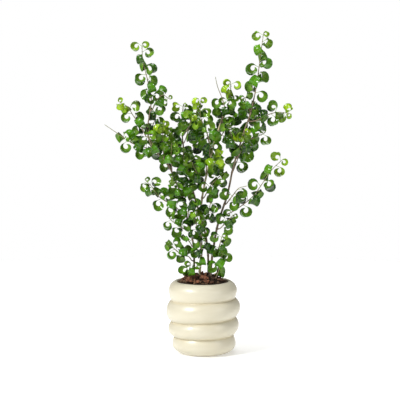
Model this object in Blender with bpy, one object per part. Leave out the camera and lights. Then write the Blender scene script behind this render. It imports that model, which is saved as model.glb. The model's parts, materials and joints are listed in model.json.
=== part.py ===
"""A curly-leaf weeping fig in a ceramic pot of four stacked rings.

The origin is the middle of the pot's base, +Z is up, +X is the viewer's right and -Y is the front.
The plant is drawn once in millimetres, in STEMS and SHOOTS, and stretched to the driving sizes.
Each leafy shoot is one closed body: a square twig out of which every leaf grows.
"""

import math
import random

import bmesh
import bpy
from mathutils import Matrix, Vector
from mathutils.bvhtree import BVHTree

MM = 0.001
GAP = 0.0003  # between two solids that touch

# ---- pot ----
POT_HEIGHT = 0.158
RING_SHARES = (38.5, 36, 44, 39.5)  # of the height, from the base up
RING_RADII = (0.0695, 0.0775, 0.081, 0.0745)
GROOVE_RADII = (0.064, 0.0685, 0.069)
BASE_RADIUS = 0.047
MOUTH_RADIUS = 0.056
LIP_RADIUS = 0.060
WALL = 0.008
FLOOR = 0.012
POT_LEAN = 0.003  # how far the hand-built rings drift to the left on the way up
POT_TILT = 0.07  # the slope of its middle groove, up to the right
POT_SEGMENTS = 32
RING_TURNS = (-60, -30, 0, 30, 60, 90)  # the corners of each ring's profile, in degrees
RING_BULGE = 1.5  # 1 makes each ring's profile half an ellipse, and more makes it more pointed

# ---- soil and bark ----
SOIL_DEPTH_BELOW_RIM = 0.007
SOIL_DOME = 0.014
DOME_SHARES = (0.75, 0.4, 0.0)  # of the mouth's radius, where the dome's profile has corners
ROOT_DEPTH = 0.030
CHIP_LENGTH = 0.014
CHIP_WIDTH = 0.62  # these four are shares of a chip's length
CHIP_THICKNESS = 0.36
CHIP_BEVEL = 0.12
CHIP_TAPER = 0.7

# ---- plant ----
CROWN_HEIGHT = 0.547  # from the soil's edge to the highest twig tip
CROWN_WIDTH = 0.398
CROWN_DEPTH = 0.214
DRAWN_CROWN = (398.0, 214.0, 538.0)  # its width, depth and height in the drawing's millimetres
DRAWN_MOUTH = 56.0  # the mouth's radius in the same drawing
TWIG_RADIUS = 0.0013
TWIG_TAPER = 0.5  # the share of its radius that a twig loses on the way to its tip
TWIG_STEP = 0.012  # the longest straight stretch of a twig
LEAF_CURL = 0.0190  # across the ring that a full-grown leaf's midrib curls into
LEAF_WIDTH = 0.0235
LEAF_FOLD = math.radians(26)  # how far each half of a leaf rises from flat
LEAF_THICKNESS = 0.0014
LEAF_WIDTHS = (0.12, 0.85, 1.0, 0.72)  # at even steps from the stalk to the pointed tip
LEAF_TIGHTENING = 0.42  # the share of its radius that the curl loses by the tip
LEAF_TURN = (270, 335)  # how far a leaf curls round, in degrees
LEAF_LIFT = (55, 75)  # how far its stalk stands off the twig, in degrees
LEAF_TWIST = 137.5  # from one leaf to the next round the twig, in degrees
LEAF_STRAY = 15  # from that place, in degrees
LEAF_ROLL = 30  # round its own stalk, in degrees
LEAF_BREADTHS = (0.9, 1.1)  # against LEAF_WIDTH
YOUNG_FROM = 0.6  # the share of a twig past which its leaves are young
YOUNG_SMALLER = 0.5  # how much smaller a leaf is for each unit of share past that
PETIOLE = 0.009
CLEARANCE = 0.0012  # kept between leaves and everything round them
SWING = 20  # tried to either side of a leaf's place until it is clear, in degrees
SWINGS = 12  # tried before the leaf is made smaller
SHRINKS = 3
SHRINK = 0.08
STEM_SIDES = 6
STEM_EXTRA = 2  # straight stretches of a stem beyond its number of drawn points

# ---- finishes: colour and roughness ----
CERAMIC = ((0.80, 0.73, 0.57), 0.45)
SOIL = ((0.10, 0.055, 0.03), 0.95)
BARK = ((0.24, 0.11, 0.06), 0.85)
PALE_WOOD = ((0.45, 0.36, 0.20), 0.7)
WOOD = ((0.17, 0.12, 0.07), 0.7)
FOLIAGE = ((0.07, 0.22, 0.03), 0.35)

# Stems: radius in mm at the foot and at the top, then points (x, y, height) in mm, with heights
# from the edge of the soil.
STEMS = {
    "stem_pale": (
        3.1,
        1.5,
        [(-6, 0, 0), (-6.5, 0, 30), (-3, 0, 66), (-4, 0, 113), (-5, 2, 145), (0, 4, 195)]
        + [(12, 4, 250), (24, 2, 300), (38, 0, 345)],
    ),
    "stem_right": (
        2.8,
        1.4,
        [(17, -6, 0), (18, -6, 39), (24, -5, 83), (30, -4, 118), (39, -2, 150), (54, 0, 194)]
        + [(65, 0, 248), (78, 0, 291), (90, 2, 330), (104, 2, 367), (110, 2, 396)],
    ),
    "stem_left": (
        2.3,
        1.3,
        [(-19, 0, 0), (-19, 0, 59), (-20, 0, 87), (-30, 0, 118), (-38, 0, 165), (-52, 0, 205)]
        + [(-69, 0, 246), (-92, 0, 275), (-118, 0, 310), (-117, 0, 350), (-111, 0, 388)],
    ),
    "stem_green": (
        2.6,
        1.4,
        [(12, 12, 0), (12, 13, 57), (5, 15, 110), (-10, 17, 160), (-24, 18, 210)]
        + [(-36, 18, 260), (-44, 16, 310), (-45, 12, 345)],
    ),
}

# Shoots: the stem each grows from and the height there (None at the stem's top), the points its
# twig then passes through, its number of leaves, their size against LEAF_CURL, and the share of
# the twig that is bare at its foot and at its tip. A shoot with no stem springs from the soil.
SHOOTS = {
    "right_leader": (
        "stem_right", None, [(117, 0, 432), (124, 0, 490), (131, 0, 538)], 10, 1.0, 0.05, 0.0
    ),
    "right_collar_shoot": ("stem_right", 370, [(96, -16, 385), (88, -26, 402)], 4, 0.8, 0.2, 0.0),
    "right_far_shoot": (
        "stem_right", 350, [(118, -8, 352), (136, -14, 362), (160, -16, 369), (187, -14, 366)],
        9, 0.9, 0.15, 0.0,
    ),
    "right_mid_shoot": ("stem_right", 309, [(108, 10, 312), (135, 15, 324)], 5, 1.0, 0.2, 0.0),
    "right_front_shoot": ("stem_right", 270, [(84, -24, 292), (90, -40, 330)], 5, 1.05, 0.3, 0.0),
    "right_low_shoot": (
        "stem_right", 150, [
            (62, -10, 156), (108, -14, 190), (130, -14, 220), (150, -12, 248), (174, -10, 270),
        ],
        10, 1.0, 0.25, 0.0,
    ),
    "right_inner_shoot": (
        "stem_right", 172, [(66, -22, 195), (78, -34, 210), (91, -38, 214)], 4, 0.9, 0.2, 0.2
    ),
    "right_lower_shoot": ("stem_right", 120, [(50, -12, 134), (68, -14, 152)], 5, 0.9, 0.3, 0.0),
    "right_sprout": (None, None, [(26, -20, 0), (36, -24, 40), (42, -24, 72)], 4, 0.95, 0.25, 0.0),
    "left_leader": (
        "stem_left", None, [(-118, 0, 433), (-126, 0, 465), (-130, 0, 490), (-130, 0, 514)],
        10, 0.95, 0.05, 0.0,
    ),
    "left_inner_high_shoot": (
        "stem_left", 372, [(-100, -8, 392), (-86, -14, 405), (-70, -18, 396)], 5, 0.9, 0.15, 0.0
    ),
    "left_high_shoot": (
        "stem_left", 316, [(-134, -2, 339), (-151, -4, 363), (-162, -4, 380), (-181, -4, 391)],
        8, 0.9, 0.15, 0.0,
    ),
    "left_far_shoot": (
        "stem_left", 290, [(-130, -4, 296), (-152, -6, 303), (-184, -6, 324), (-208, -6, 340)],
        7, 0.95, 0.1, 0.24,
    ),
    "left_front_shoot": ("stem_left", 280, [(-106, -26, 300), (-116, -44, 322)], 5, 0.95, 0.25, 0.0),
    "left_rosette_shoot": ("stem_left", 268, [(-86, -20, 300), (-85, -28, 345)], 8, 0.95, 0.3, 0.0),
    "left_mid_shoot": (
        "stem_left", 150, [(-60, -10, 168), (-95, -13, 190), (-110, -13, 211), (-124, -13, 225)],
        10, 0.95, 0.2, 0.0,
    ),
    "left_lower_shoot": ("stem_left", 118, [(-50, -9, 125), (-72, -9, 142)], 5, 0.95, 0.25, 0.0),
    "left_knee_shoot": ("stem_left", 82, [(-27, -10, 90), (-38, -18, 104)], 2, 0.95, 0.4, 0.0),
    "left_low_shoot": (
        "stem_left", 50, [(-30, -8, 60), (-52, -14, 70), (-74, -14, 90)], 7, 0.85, 0.3, 0.0
    ),
    "left_sprout": (None, None, [(-30, -14, 0), (-30, -18, 25), (-27, -20, 46)], 4, 0.8, 0.3, 0.0),
    "centre_leader": (
        "stem_pale", None, [(47, 0, 374), (43, 0, 394), (32, 0, 422), (28, 0, 439)], 5, 0.85, 0.1, 0.45
    ),
    "centre_top_shoot": (
        "stem_pale", 330, [(50, 12, 368), (60, 14, 405), (60, 12, 432)], 9, 0.9, 0.25, 0.0
    ),
    "centre_left_shoot": (
        "stem_pale", 290, [(8, -6, 328), (-5, -9, 360), (-4, -8, 396)], 8, 0.85, 0.3, 0.0
    ),
    "centre_front_shoot": ("stem_pale", 242, [(24, -28, 262), (38, -48, 272)], 7, 0.95, 0.4, 0.0),
    "centre_low_shoot": ("stem_pale", 185, [(18, -20, 215), (44, -32, 242)], 7, 0.95, 0.3, 0.0),
    "centre_foot_shoot": ("stem_pale", 48, [(-2, -14, 66), (6, -22, 98)], 5, 0.85, 0.2, 0.0),
    "centre_waist_shoot": ("stem_pale", 100, [(-12, -16, 122), (-20, -24, 156)], 7, 0.9, 0.25, 0.0),
    "right_foot_shoot": ("stem_right", 62, [(34, -18, 80), (42, -26, 108)], 5, 1.0, 0.25, 0.0),
    "left_waist_shoot": ("stem_left", 136, [(-30, -16, 160), (-26, -26, 194)], 7, 0.9, 0.25, 0.0),
    "green_waist_shoot": ("stem_green", 128, [(12, -2, 152), (18, -12, 184)], 7, 0.9, 0.3, 0.0),
    "centre_back_shoot": ("stem_pale", 235, [(8, 42, 275), (-4, 80, 308)], 7, 1.0, 0.3, 0.0),
    "centre_back_high_shoot": ("stem_pale", 300, [(50, 40, 330), (70, 68, 358)], 7, 1.0, 0.3, 0.0),
    "green_leader": ("stem_green", None, [(-44, 8, 364), (-42, 2, 384)], 5, 0.9, 0.1, 0.0),
    "green_front_shoot": ("stem_green", 232, [(-40, -14, 262), (-42, -44, 296)], 7, 1.0, 0.35, 0.0),
    "green_low_shoot": ("stem_green", 188, [(-46, -14, 208), (-66, -30, 226)], 7, 1.05, 0.4, 0.0),
    "green_back_left_shoot": ("stem_green", 258, [(-60, 56, 292), (-80, 84, 320)], 7, 1.0, 0.3, 0.0),
    "green_back_shoot": ("stem_green", 206, [(-30, 58, 236), (-38, 92, 262)], 7, 1.0, 0.3, 0.0),
    "left_crown_shoot": ("stem_left", 244, [(-68, -32, 272), (-66, -52, 306)], 5, 0.95, 0.35, 0.0),
    "green_crown_shoot": ("stem_green", 302, [(-30, -24, 334), (-22, -40, 362)], 7, 0.95, 0.35, 0.0),
    "centre_crown_shoot": ("stem_pale", 270, [(14, -34, 308), (6, -54, 338)], 7, 0.95, 0.35, 0.0),
    "right_crown_shoot": ("stem_right", 292, [(64, -36, 314), (54, -48, 344)], 7, 0.95, 0.35, 0.0),
    "centre_inner_shoot": ("stem_pale", 215, [(-12, -28, 240), (-26, -48, 270)], 7, 0.95, 0.35, 0.0),
    "right_back_shoot": ("stem_right", 240, [(80, 40, 275), (92, 68, 306)], 7, 1.0, 0.3, 0.0),
    "left_back_shoot": ("stem_left", 240, [(-84, 44, 275), (-100, 68, 304)], 7, 1.0, 0.3, 0.0),
    "right_back_high_shoot": ("stem_right", 328, [(100, 36, 354), (108, 58, 384)], 7, 0.95, 0.3, 0.0),
    "green_back_high_shoot": ("stem_green", 318, [(-22, 46, 350), (-6, 64, 378)], 7, 0.95, 0.3, 0.0),
    "left_back_high_shoot": ("stem_left", 326, [(-106, 38, 346), (-100, 58, 368)], 5, 0.95, 0.35, 0.0),
}

# Bark chips: (x, y) from the pot's axis in shares of MOUTH_RADIUS, the way each points and its
# tilt, both in degrees, and its size against CHIP_LENGTH.
CHIPS = (
    (-0.48, -0.68, 20, 12, 1.1),
    (-0.18, -0.75, 75, -10, 0.9),
    (0.07, -0.54, -35, 14, 1.2),
    (0.36, -0.71, 50, -8, 0.8),
    (0.68, -0.43, 10, 10, 1.0),
    (0.54, 0.54, 80, -12, 1.1),
    (-0.54, 0.50, -60, 12, 1.0),
)


def material(name, color, roughness):
    made = bpy.data.materials.new(name)
    made.use_nodes = True
    made.diffuse_color = (*color, 1.0)
    shader = made.node_tree.nodes["Principled BSDF"]
    shader.inputs["Base Color"].default_value = (*color, 1.0)
    shader.inputs["Roughness"].default_value = roughness
    shader.inputs["Metallic"].default_value = 0.0
    return made


def add(name, mesh, finish, smooth_angle=40):
    """An object of the scene that holds this bmesh."""
    bmesh.ops.recalc_face_normals(mesh, faces=mesh.faces)
    data = bpy.data.meshes.new(name)
    mesh.to_mesh(data)
    mesh.free()
    data.shade_smooth()
    data.set_sharp_from_angle(angle=math.radians(smooth_angle))
    data.materials.append(material(name, *finish))
    made = bpy.data.objects.new(name, data)
    bpy.context.collection.objects.link(made)
    return made


# ---- pot, soil and bark ----


def ring_bounds():
    """The heights of the grooves between the pot's rings, with the base and the rim."""
    heights = [0.0]
    for share in RING_SHARES:
        heights.append(heights[-1] + POT_HEIGHT * share / sum(RING_SHARES))
    return heights


def outer_profile():
    """(radius, height) up the outside of the pot: each ring bulges between two grooves."""
    bounds = ring_bounds()
    lower = (BASE_RADIUS, *GROOVE_RADII)
    upper = (*GROOVE_RADII, LIP_RADIUS)
    points = [(BASE_RADIUS, 0.0)]
    for low, high, start, end, widest in zip(bounds, bounds[1:], lower, upper, RING_RADII):
        middle = (low + high) / 2
        for turn in RING_TURNS:
            angle = math.radians(turn)
            edge = end if turn > 0 else start
            radius = edge + (widest - edge) * max(0.0, math.cos(angle)) ** RING_BULGE
            points.append((radius, middle + (high - low) / 2 * math.sin(angle)))
    return points


def inner_profile():
    """(radius, height) down the inside of the pot, from the mouth to the floor."""
    bounds = ring_bounds()
    points = [(MOUTH_RADIUS, bounds[-1] - WALL / 2)]
    for groove, height in zip(reversed(GROOVE_RADII), reversed(bounds[1:-1])):
        points.append((groove - WALL, height))
    points.append((BASE_RADIUS - WALL, FLOOR))
    return points


def shift(point):
    """The lean and the slight tilt of the hand-built rings."""
    share = min(max(point.z / POT_HEIGHT, 0.0), 1.0)
    rise = POT_TILT * math.sin(math.pi * share) ** 2 * point.x
    return Vector((point.x - POT_LEAN * share, point.y, point.z + rise))


def turned(profile, sides):
    """A closed body of revolution whose profile starts and ends on the axis."""
    mesh = bmesh.new()
    rings = []
    for radius, height in profile:
        if radius == 0.0:
            rings.append([mesh.verts.new(shift(Vector((0, 0, height))))])
            continue
        turn = [2 * math.pi * k / sides for k in range(sides)]
        at = [Vector((radius * math.cos(a), radius * math.sin(a), height)) for a in turn]
        rings.append([mesh.verts.new(shift(point)) for point in at])
    for below, above in zip(rings, rings[1:]):
        for k in range(sides):
            corners = [below[k % len(below)], below[(k + 1) % len(below)]]
            corners += [above[(k + 1) % len(above)], above[k % len(above)]]
            mesh.faces.new(list(dict.fromkeys(corners)))
    return mesh


def make_pot():
    profile = [(0.0, 0.0), *outer_profile(), *inner_profile(), (0.0, FLOOR)]
    return add("pot", turned(profile, POT_SEGMENTS), CERAMIC, 50)


def dome_height(share):
    """The soil's height at this share of the mouth's radius, where its profile has a corner."""
    return POT_HEIGHT - SOIL_DEPTH_BELOW_RIM + SOIL_DOME * (1 - share**2)


def soil_height(x, y):
    """The height of the soil, which is straight between its profile's corners, at this place."""
    share = min(math.hypot(x + POT_LEAN, y) / MOUTH_RADIUS, 1.0)
    corners = (1.0, *DOME_SHARES)
    for outer, inner in zip(corners, corners[1:]):
        if share >= inner:
            part = (outer - share) / (outer - inner)
            return dome_height(outer) + (dome_height(inner) - dome_height(outer)) * part
    return dome_height(0.0)


def inside_radius(height):
    """The radius of the pot's inner wall at this height."""
    wall = inner_profile()
    for (r_high, high), (r_low, low) in zip(wall, wall[1:]):
        if height >= low:
            share = min((height - low) / (high - low), 1.0)
            return r_low + (r_high - r_low) * share
    return wall[-1][0]


def make_soil(stems):
    """Soil that fills the pot to just under its rim, with a hole for each stem."""
    base = FLOOR + GAP
    clearance = 2 * GAP
    edge = POT_HEIGHT - SOIL_DEPTH_BELOW_RIM
    walls = [height for _, height in inner_profile() if base < height < edge]
    profile = [(0.0, base), (inside_radius(base) - clearance, base)]
    profile += [(inside_radius(height) - clearance, height) for height in reversed(walls)]
    profile.append((inside_radius(edge) - clearance, edge))
    profile += [(share * MOUTH_RADIUS, dome_height(share)) for share in DOME_SHARES]
    soil = add("soil", turned(profile, POT_SEGMENTS), SOIL)
    for name, (path, radii) in stems.items():
        hole = add("hole_" + name, tube(path, [r + 2 * GAP for r in radii]), SOIL)
        hole.hide_render = True
        hole.display_type = "WIRE"
        cut = soil.modifiers.new(name, "BOOLEAN")
        cut.operation = "DIFFERENCE"
        cut.solver = "EXACT"
        cut.object = hole
    return soil


def make_chip(number, x, y, heading, tilt, size):
    """A flake of bark: a tapered slab that lies just clear of the soil."""
    length = CHIP_LENGTH * size
    mesh = bmesh.new()
    bmesh.ops.create_cube(mesh, size=1.0)
    for vert in mesh.verts:
        taper = CHIP_TAPER if vert.co.x > 0 else 1.0
        vert.co = Vector((vert.co.x, vert.co.y * taper, vert.co.z * taper))
    bmesh.ops.bevel(mesh, geom=mesh.edges[:], offset=CHIP_BEVEL, segments=1, affect="EDGES")
    bmesh.ops.scale(mesh, verts=mesh.verts, vec=(length, length * CHIP_WIDTH, length * CHIP_THICKNESS))
    turn = Matrix.Rotation(math.radians(heading), 4, "Z") @ Matrix.Rotation(math.radians(tilt), 4, "Y")
    bmesh.ops.transform(mesh, matrix=turn, verts=mesh.verts)
    at = Vector((x * MOUTH_RADIUS - POT_LEAN, y * MOUTH_RADIUS, 0))
    at.z = GAP + max(soil_height(*(at + v.co).xy) - v.co.z for v in mesh.verts)
    bmesh.ops.translate(mesh, verts=mesh.verts, vec=at)
    return add(f"bark_chip_{number:02d}", mesh, BARK, 30)


# ---- stems and shoots ----


def grown(point):
    """A drawn point (x, y, height, in mm) at the plant's real size and place.

    A point at height 0 is where something is planted, and keeps its place in the pot's mouth.
    """
    real = (CROWN_WIDTH, CROWN_DEPTH, CROWN_HEIGHT)
    x, y, z = (value * size / drawn for value, size, drawn in zip(point, real, DRAWN_CROWN))
    if point[2] == 0:
        x, y = (value * MOUTH_RADIUS / DRAWN_MOUTH for value in point[:2])
    return Vector((x - POT_LEAN, y, z + POT_HEIGHT - SOIL_DEPTH_BELOW_RIM))


def between(a, b, start, end, now):
    return a.lerp(b, (now - start) / (end - start))


def smooth(points, steps=4):
    """Points along a smooth curve through these ones, with no loops where they are uneven."""
    ends = [2 * points[0] - points[1], *points, 2 * points[-1] - points[-2]]
    knots = [0.0]
    for a, b in zip(ends, ends[1:]):
        knots.append(knots[-1] + math.sqrt((b - a).length))
    curve = []
    for k in range(1, len(ends) - 2):
        p, t = ends[k - 1 : k + 3], knots[k - 1 : k + 3]
        for step in range(steps):
            now = t[1] + (t[2] - t[1]) * step / steps
            first = [between(p[i], p[i + 1], t[i], t[i + 1], now) for i in range(3)]
            second = [between(first[i], first[i + 1], t[i], t[i + 2], now) for i in range(2)]
            curve.append(between(*second, t[1], t[2], now))
    return [*curve, points[-1]]


class Path:
    """A line of points that is read by its length."""

    def __init__(self, points):
        self.points = points
        self.along = [0.0]
        for a, b in zip(self.points, self.points[1:]):
            self.along.append(self.along[-1] + (b - a).length)
        self.length = self.along[-1]

    def at(self, distance):
        """The point and the direction at this distance from the start."""
        distance = min(max(distance, 0.0), self.length)
        k = 0
        while k < len(self.along) - 2 and self.along[k + 1] < distance:
            k += 1
        a, b = self.points[k], self.points[k + 1]
        share = (distance - self.along[k]) / (self.along[k + 1] - self.along[k])
        return a.lerp(b, share), (b - a).normalized()

    def height(self, height):
        """The distance from the start at which the curve first reaches this height."""
        for k, (a, b) in enumerate(zip(self.points, self.points[1:])):
            if b.z >= height:
                share = (height - a.z) / (b.z - a.z)
                return self.along[k] + share * (self.along[k + 1] - self.along[k])
        return self.length


def directions(points):
    """The way a line of points runs at each of them."""
    last = len(points) - 1
    return [(points[min(k + 1, last)] - points[max(k - 1, 0)]).normalized() for k in range(last + 1)]


def frames(ways):
    """Each direction with two axes square to it, which turn as little as they can."""
    found = []
    side = Vector((1, 0, 0))
    for ahead in ways:
        side = (side - ahead * side.dot(ahead)).normalized()
        found.append((ahead, side, ahead.cross(side)))
    return found


def ring(mesh, centre, axes, radius, sides):
    _, side, up = axes
    turns = [2 * math.pi * (k + 0.5) / sides for k in range(sides)]
    return [mesh.verts.new(centre + (side * math.cos(a) + up * math.sin(a)) * radius) for a in turns]


def tube(points, radii, sides=STEM_SIDES):
    """A closed tube through these points."""
    mesh = bmesh.new()
    axes = frames(directions(points))
    rings = [ring(mesh, p, f, r, sides) for p, f, r in zip(points, axes, radii)]
    for below, above in zip(rings, rings[1:]):
        for k in range(sides):
            mesh.faces.new([below[k], below[k - 1], above[k - 1], above[k]][::-1])
    mesh.faces.new(rings[0][::-1])
    mesh.faces.new(rings[-1])
    return mesh


def stem_path(drawn):
    """A stem's middle line, in straight stretches of one length."""
    curve = Path(smooth([grown(point) for point in drawn]))
    count = len(drawn) + STEM_EXTRA
    return Path([curve.at(curve.length * k / count)[0] for k in range(count + 1)])


def stem_radius(name, share):
    foot, top, _ = STEMS[name]
    return (foot + (top - foot) * share) * MM


def make_stems(paths):
    """Each stem is a tapered tube that reaches ROOT_DEPTH into its hole in the soil."""
    holes = {}
    for name, path in paths.items():
        radii = [stem_radius(name, distance / path.length) for distance in path.along]
        foot, above = path.points[:2]
        root = foot - Vector((0, 0, ROOT_DEPTH))
        finish = PALE_WOOD if name == "stem_pale" else WOOD
        add(name, tube([root, *path.points], [radii[0], *radii]), finish)
        deepest = root - Vector((0, 0, GAP))
        holes[name] = ([deepest, foot, above], [radii[0]] * 3)
    return holes


def shoot_path(name, stems):
    """The smooth curve of a shoot's twig, from just clear of its stem."""
    parent, height, drawn, *_ = SHOOTS[name]
    through = [grown(point) for point in drawn]
    if parent is None:
        through[0].z = soil_height(through[0].x, through[0].y) + 2 * GAP
        return Path(smooth(through))
    stem = stems[parent]
    if height is None:
        tip, ahead = stem.at(stem.length)
        start = tip + ahead * GAP
        return Path(smooth([start, start + ahead * 2 * TWIG_RADIUS, *through]))
    distance = stem.height(grown((0, 0, height)).z)
    root, ahead = stem.at(distance)
    out = through[0] - root
    out = (out - ahead * out.dot(ahead)).normalized()
    clear = stem_radius(parent, distance / stem.length) + GAP
    start = root + out * clear
    return Path(smooth([start, start + out * 2 * TWIG_RADIUS, *through]))


def leaf_sections(size, turn, width, thick):
    """The sections of a curled leaf, each its right edge, underside, left edge and upper side.

    The leaf starts at its own origin and runs along +Y with its glossy side up. It is folded
    upwards along its midrib, and curls down and back on itself round X, tighter to the tip.
    """
    steps = len(LEAF_WIDTHS)
    bend = turn / steps
    found = []
    centre = Vector((0, 0, 0))
    for k, share in enumerate(LEAF_WIDTHS):
        up = Vector((0, math.sin(k * bend), math.cos(k * bend)))
        half = width / 2 * share
        side = Vector((half * math.cos(LEAF_FOLD), 0, 0))
        raised = centre + up * half * math.sin(LEAF_FOLD)
        rib = up * thick / 2
        found.append((raised + side, centre - rib, raised - side, centre + rib))
        angle = (k + 0.5) * bend
        radius = size / 2 * (1.0 - LEAF_TIGHTENING * k / steps)
        step = 2 * radius * math.sin(bend / 2)
        centre = centre + Vector((0, math.cos(angle), -math.sin(angle))) * step
    return found, centre


def leaf_frame(twig, distance, around, lift, roll):
    """Where a leaf's blade starts, and how it stands there."""
    point, ahead = twig.at(distance)
    side = Vector((1, 0, 0)) if abs(ahead.x) < 0.8 else Vector((0, 0, 1))
    side = (side - ahead * side.dot(ahead)).normalized()
    out = (side * math.cos(around) + ahead.cross(side) * math.sin(around)).normalized()
    along = ahead * math.cos(lift) + out * math.sin(lift)
    across = along.cross(ahead).normalized()
    across = Matrix.Rotation(roll, 3, along) @ across
    frame = Matrix((across, along, across.cross(along))).transposed().to_4x4()
    frame.translation = point + out * TWIG_RADIUS + along * PETIOLE
    return frame, out


def leaf_solid(frame, rings, tip):
    """A closed leaf without its stalk, for finding room for it."""
    mesh = bmesh.new()
    built = [[mesh.verts.new(frame @ corner) for corner in section] for section in rings]
    grow_between(mesh, built, frame @ tip)
    mesh.faces.new(built[0][::-1])
    return taken(mesh)


def taken(mesh):
    """The space that a closed mesh takes up: its faces, its middle and its reach."""
    tree = BVHTree.FromBMesh(mesh)
    points = [vert.co.copy() for vert in mesh.verts]
    mesh.free()
    middle = sum(points, Vector()) / len(points)
    reach = max((point - middle).length for point in points)
    return tree, middle, reach


def grow_between(mesh, sections, tip):
    """Side faces from section to section of four corners, closed at the tip."""
    for below, above in zip(sections, sections[1:]):
        for k in range(4):
            mesh.faces.new([below[k - 1], below[k], above[k], above[k - 1]])
    end = mesh.verts.new(tip)
    for k in range(4):
        mesh.faces.new([sections[-1][k - 1], sections[-1][k], end])


class Room:
    """What has been placed so far, for keeping new leaves clear of it."""

    def __init__(self):
        self.things = []

    def add_tube(self, owner, points, radii):
        for a, b, r in zip(points, points[1:], radii):
            self.things.append((owner, *taken(tube([a, b], [r + CLEARANCE] * 2, 4))))

    def free(self, solid, owner=None):
        """Whether a solid is clear of everything, but for the owner's own twig if that is given."""
        tree, middle, reach = solid
        for whose, other, centre, size in self.things:
            if whose == owner and owner:
                continue
            if (centre - middle).length < reach + size and tree.overlap(other):
                return False
        return True


def above_pot(solid):
    """Whether a solid stays above the pot's rim and the bark."""
    _, middle, reach = solid
    return middle.z - reach > POT_HEIGHT + CHIP_LENGTH / 3


def choose_leaves(name, twig, room):
    """For each leaf of a shoot, the first way of standing that is clear of everything placed."""
    _, _, _, count, size, foot, tip = SHOOTS[name]
    chance = random.Random(name)
    placed = []
    for number in range(count):
        share = foot + (1 - foot - tip) * (number + 0.5) / count
        young = YOUNG_SMALLER * max(0.0, share - YOUNG_FROM)
        turn = math.radians(chance.uniform(*LEAF_TURN))
        lift = math.radians(chance.uniform(*LEAF_LIFT))
        around = math.radians(LEAF_TWIST * number + chance.uniform(-LEAF_STRAY, LEAF_STRAY))
        roll = math.radians(chance.uniform(-LEAF_ROLL, LEAF_ROLL))
        wide = chance.uniform(*LEAF_BREADTHS)
        for attempt in range(SWINGS * SHRINKS):
            swing = math.radians(SWING * ((attempt + 1) // 2) * (-1) ** attempt)
            grown_size = size * (1 - SHRINK * (attempt // SWINGS)) * (1 - young)
            curl = LEAF_CURL * grown_size
            width = LEAF_WIDTH * grown_size * wide
            frame, out = leaf_frame(twig, share * twig.length, around + swing, lift, roll)
            rings, end = leaf_sections(curl, turn, width + CLEARANCE, LEAF_THICKNESS + CLEARANCE)
            solid = leaf_solid(frame, rings, end)
            stalk = taken(tube([twig.at(share * twig.length)[0], frame.translation], [MM, MM], 4))
            if room.free(solid) and room.free(stalk, name) and above_pot(solid):
                room.things.append((None, *solid))
                room.things.append((name, *stalk))
                placed.append((share * twig.length, frame, out, curl, turn, width))
                break
    return placed


def twig_stations(twig, leaves):
    """(distance along the twig, the leaf that grows from there to the next station, or None)."""
    stations = [(0.0, None)]
    for leaf in [*leaves, None]:
        until = leaf[0] - TWIG_RADIUS if leaf else twig.length
        start = stations[-1][0]
        steps = math.ceil((until - start) / TWIG_STEP)
        stations += [(start + (until - start) * k / steps, None) for k in range(1, steps)]
        stations.append((until, leaf))
        if leaf:
            stations.append((leaf[0] + TWIG_RADIUS, None))
    return stations


def make_shoot(name, twig, leaves):
    """A twig and its leaves in one closed body."""
    mesh = bmesh.new()
    stations = twig_stations(twig, leaves)
    line = [twig.at(distance) for distance, _ in stations]
    radii = [TWIG_RADIUS * (1 - TWIG_TAPER * distance / twig.length) for distance, _ in stations]
    axes = frames([way for _, way in line])
    rings = [ring(mesh, point, f, r, 4) for (point, _), f, r in zip(line, axes, radii)]
    mesh.faces.new(rings[0][::-1])
    mesh.faces.new(rings[-1])
    for below, above, (_, side, up), (_, leaf) in zip(rings, rings[1:], axes, stations):
        chosen = None
        if leaf:
            out = leaf[2]
            around = math.atan2(out.dot(up), out.dot(side))
            chosen = round(around / (math.pi / 2)) % 4
        for corner in range(4):
            a, b = below[corner - 1], below[corner]
            c, d = above[corner], above[corner - 1]
            if corner == chosen:
                grow_leaf(mesh, [a, b, c, d], leaf)
            else:
                mesh.faces.new([a, b, c, d])
    return add(name, mesh, FOLIAGE, 60)


def grow_leaf(mesh, root, leaf):
    """A leaf that grows out of the four-cornered hole in its twig."""
    _, frame, _, curl, turn, width = leaf
    rings, tip = leaf_sections(curl, turn, width, LEAF_THICKNESS)
    sections = [[mesh.verts.new(frame @ corner) for corner in section] for section in rings]
    first = sections[0]
    turns = [root[k:] + root[:k] for k in range(4)]
    best = min(turns, key=lambda order: sum((a.co - b.co).length for a, b in zip(order, first)))
    grow_between(mesh, [best, *sections], frame @ tip)


def build():
    for old in list(bpy.data.objects):
        bpy.data.objects.remove(old)
    make_pot()
    stems = {name: stem_path(drawn) for name, (_, _, drawn) in STEMS.items()}
    make_soil(make_stems(stems))
    for number, chip in enumerate(CHIPS, 1):
        make_chip(number, *chip)
    room = Room()
    for name, path in stems.items():
        room.add_tube(name, path.points, [stem_radius(name, a / path.length) for a in path.along])
    twigs = {name: shoot_path(name, stems) for name in SHOOTS}
    for name, twig in twigs.items():
        room.add_tube(name, twig.points, [TWIG_RADIUS] * len(twig.points))
    for name, twig in twigs.items():
        make_shoot(name, twig, choose_leaves(name, twig, room))


build()
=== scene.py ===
"""A curly-leaf weeping fig in a cream pot of four stacked rings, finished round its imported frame.

It is laid out as an add-on and run as a script. The plant is laid out just as its solid model is,
from the same drawing, so every stem, twig and leaf starts where the solid model has it. A leaf
that would pass through something is then made smaller.
The origin is the middle of the pot's base, +Z is up, +X is the viewer's right and -Y is the front.
"""

import functools
import json
import math
import random

import bmesh
import bpy
from bpy.props import FloatProperty, FloatVectorProperty, IntProperty, PointerProperty
from mathutils import Matrix, Vector
from mathutils.bvhtree import BVHTree

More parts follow.
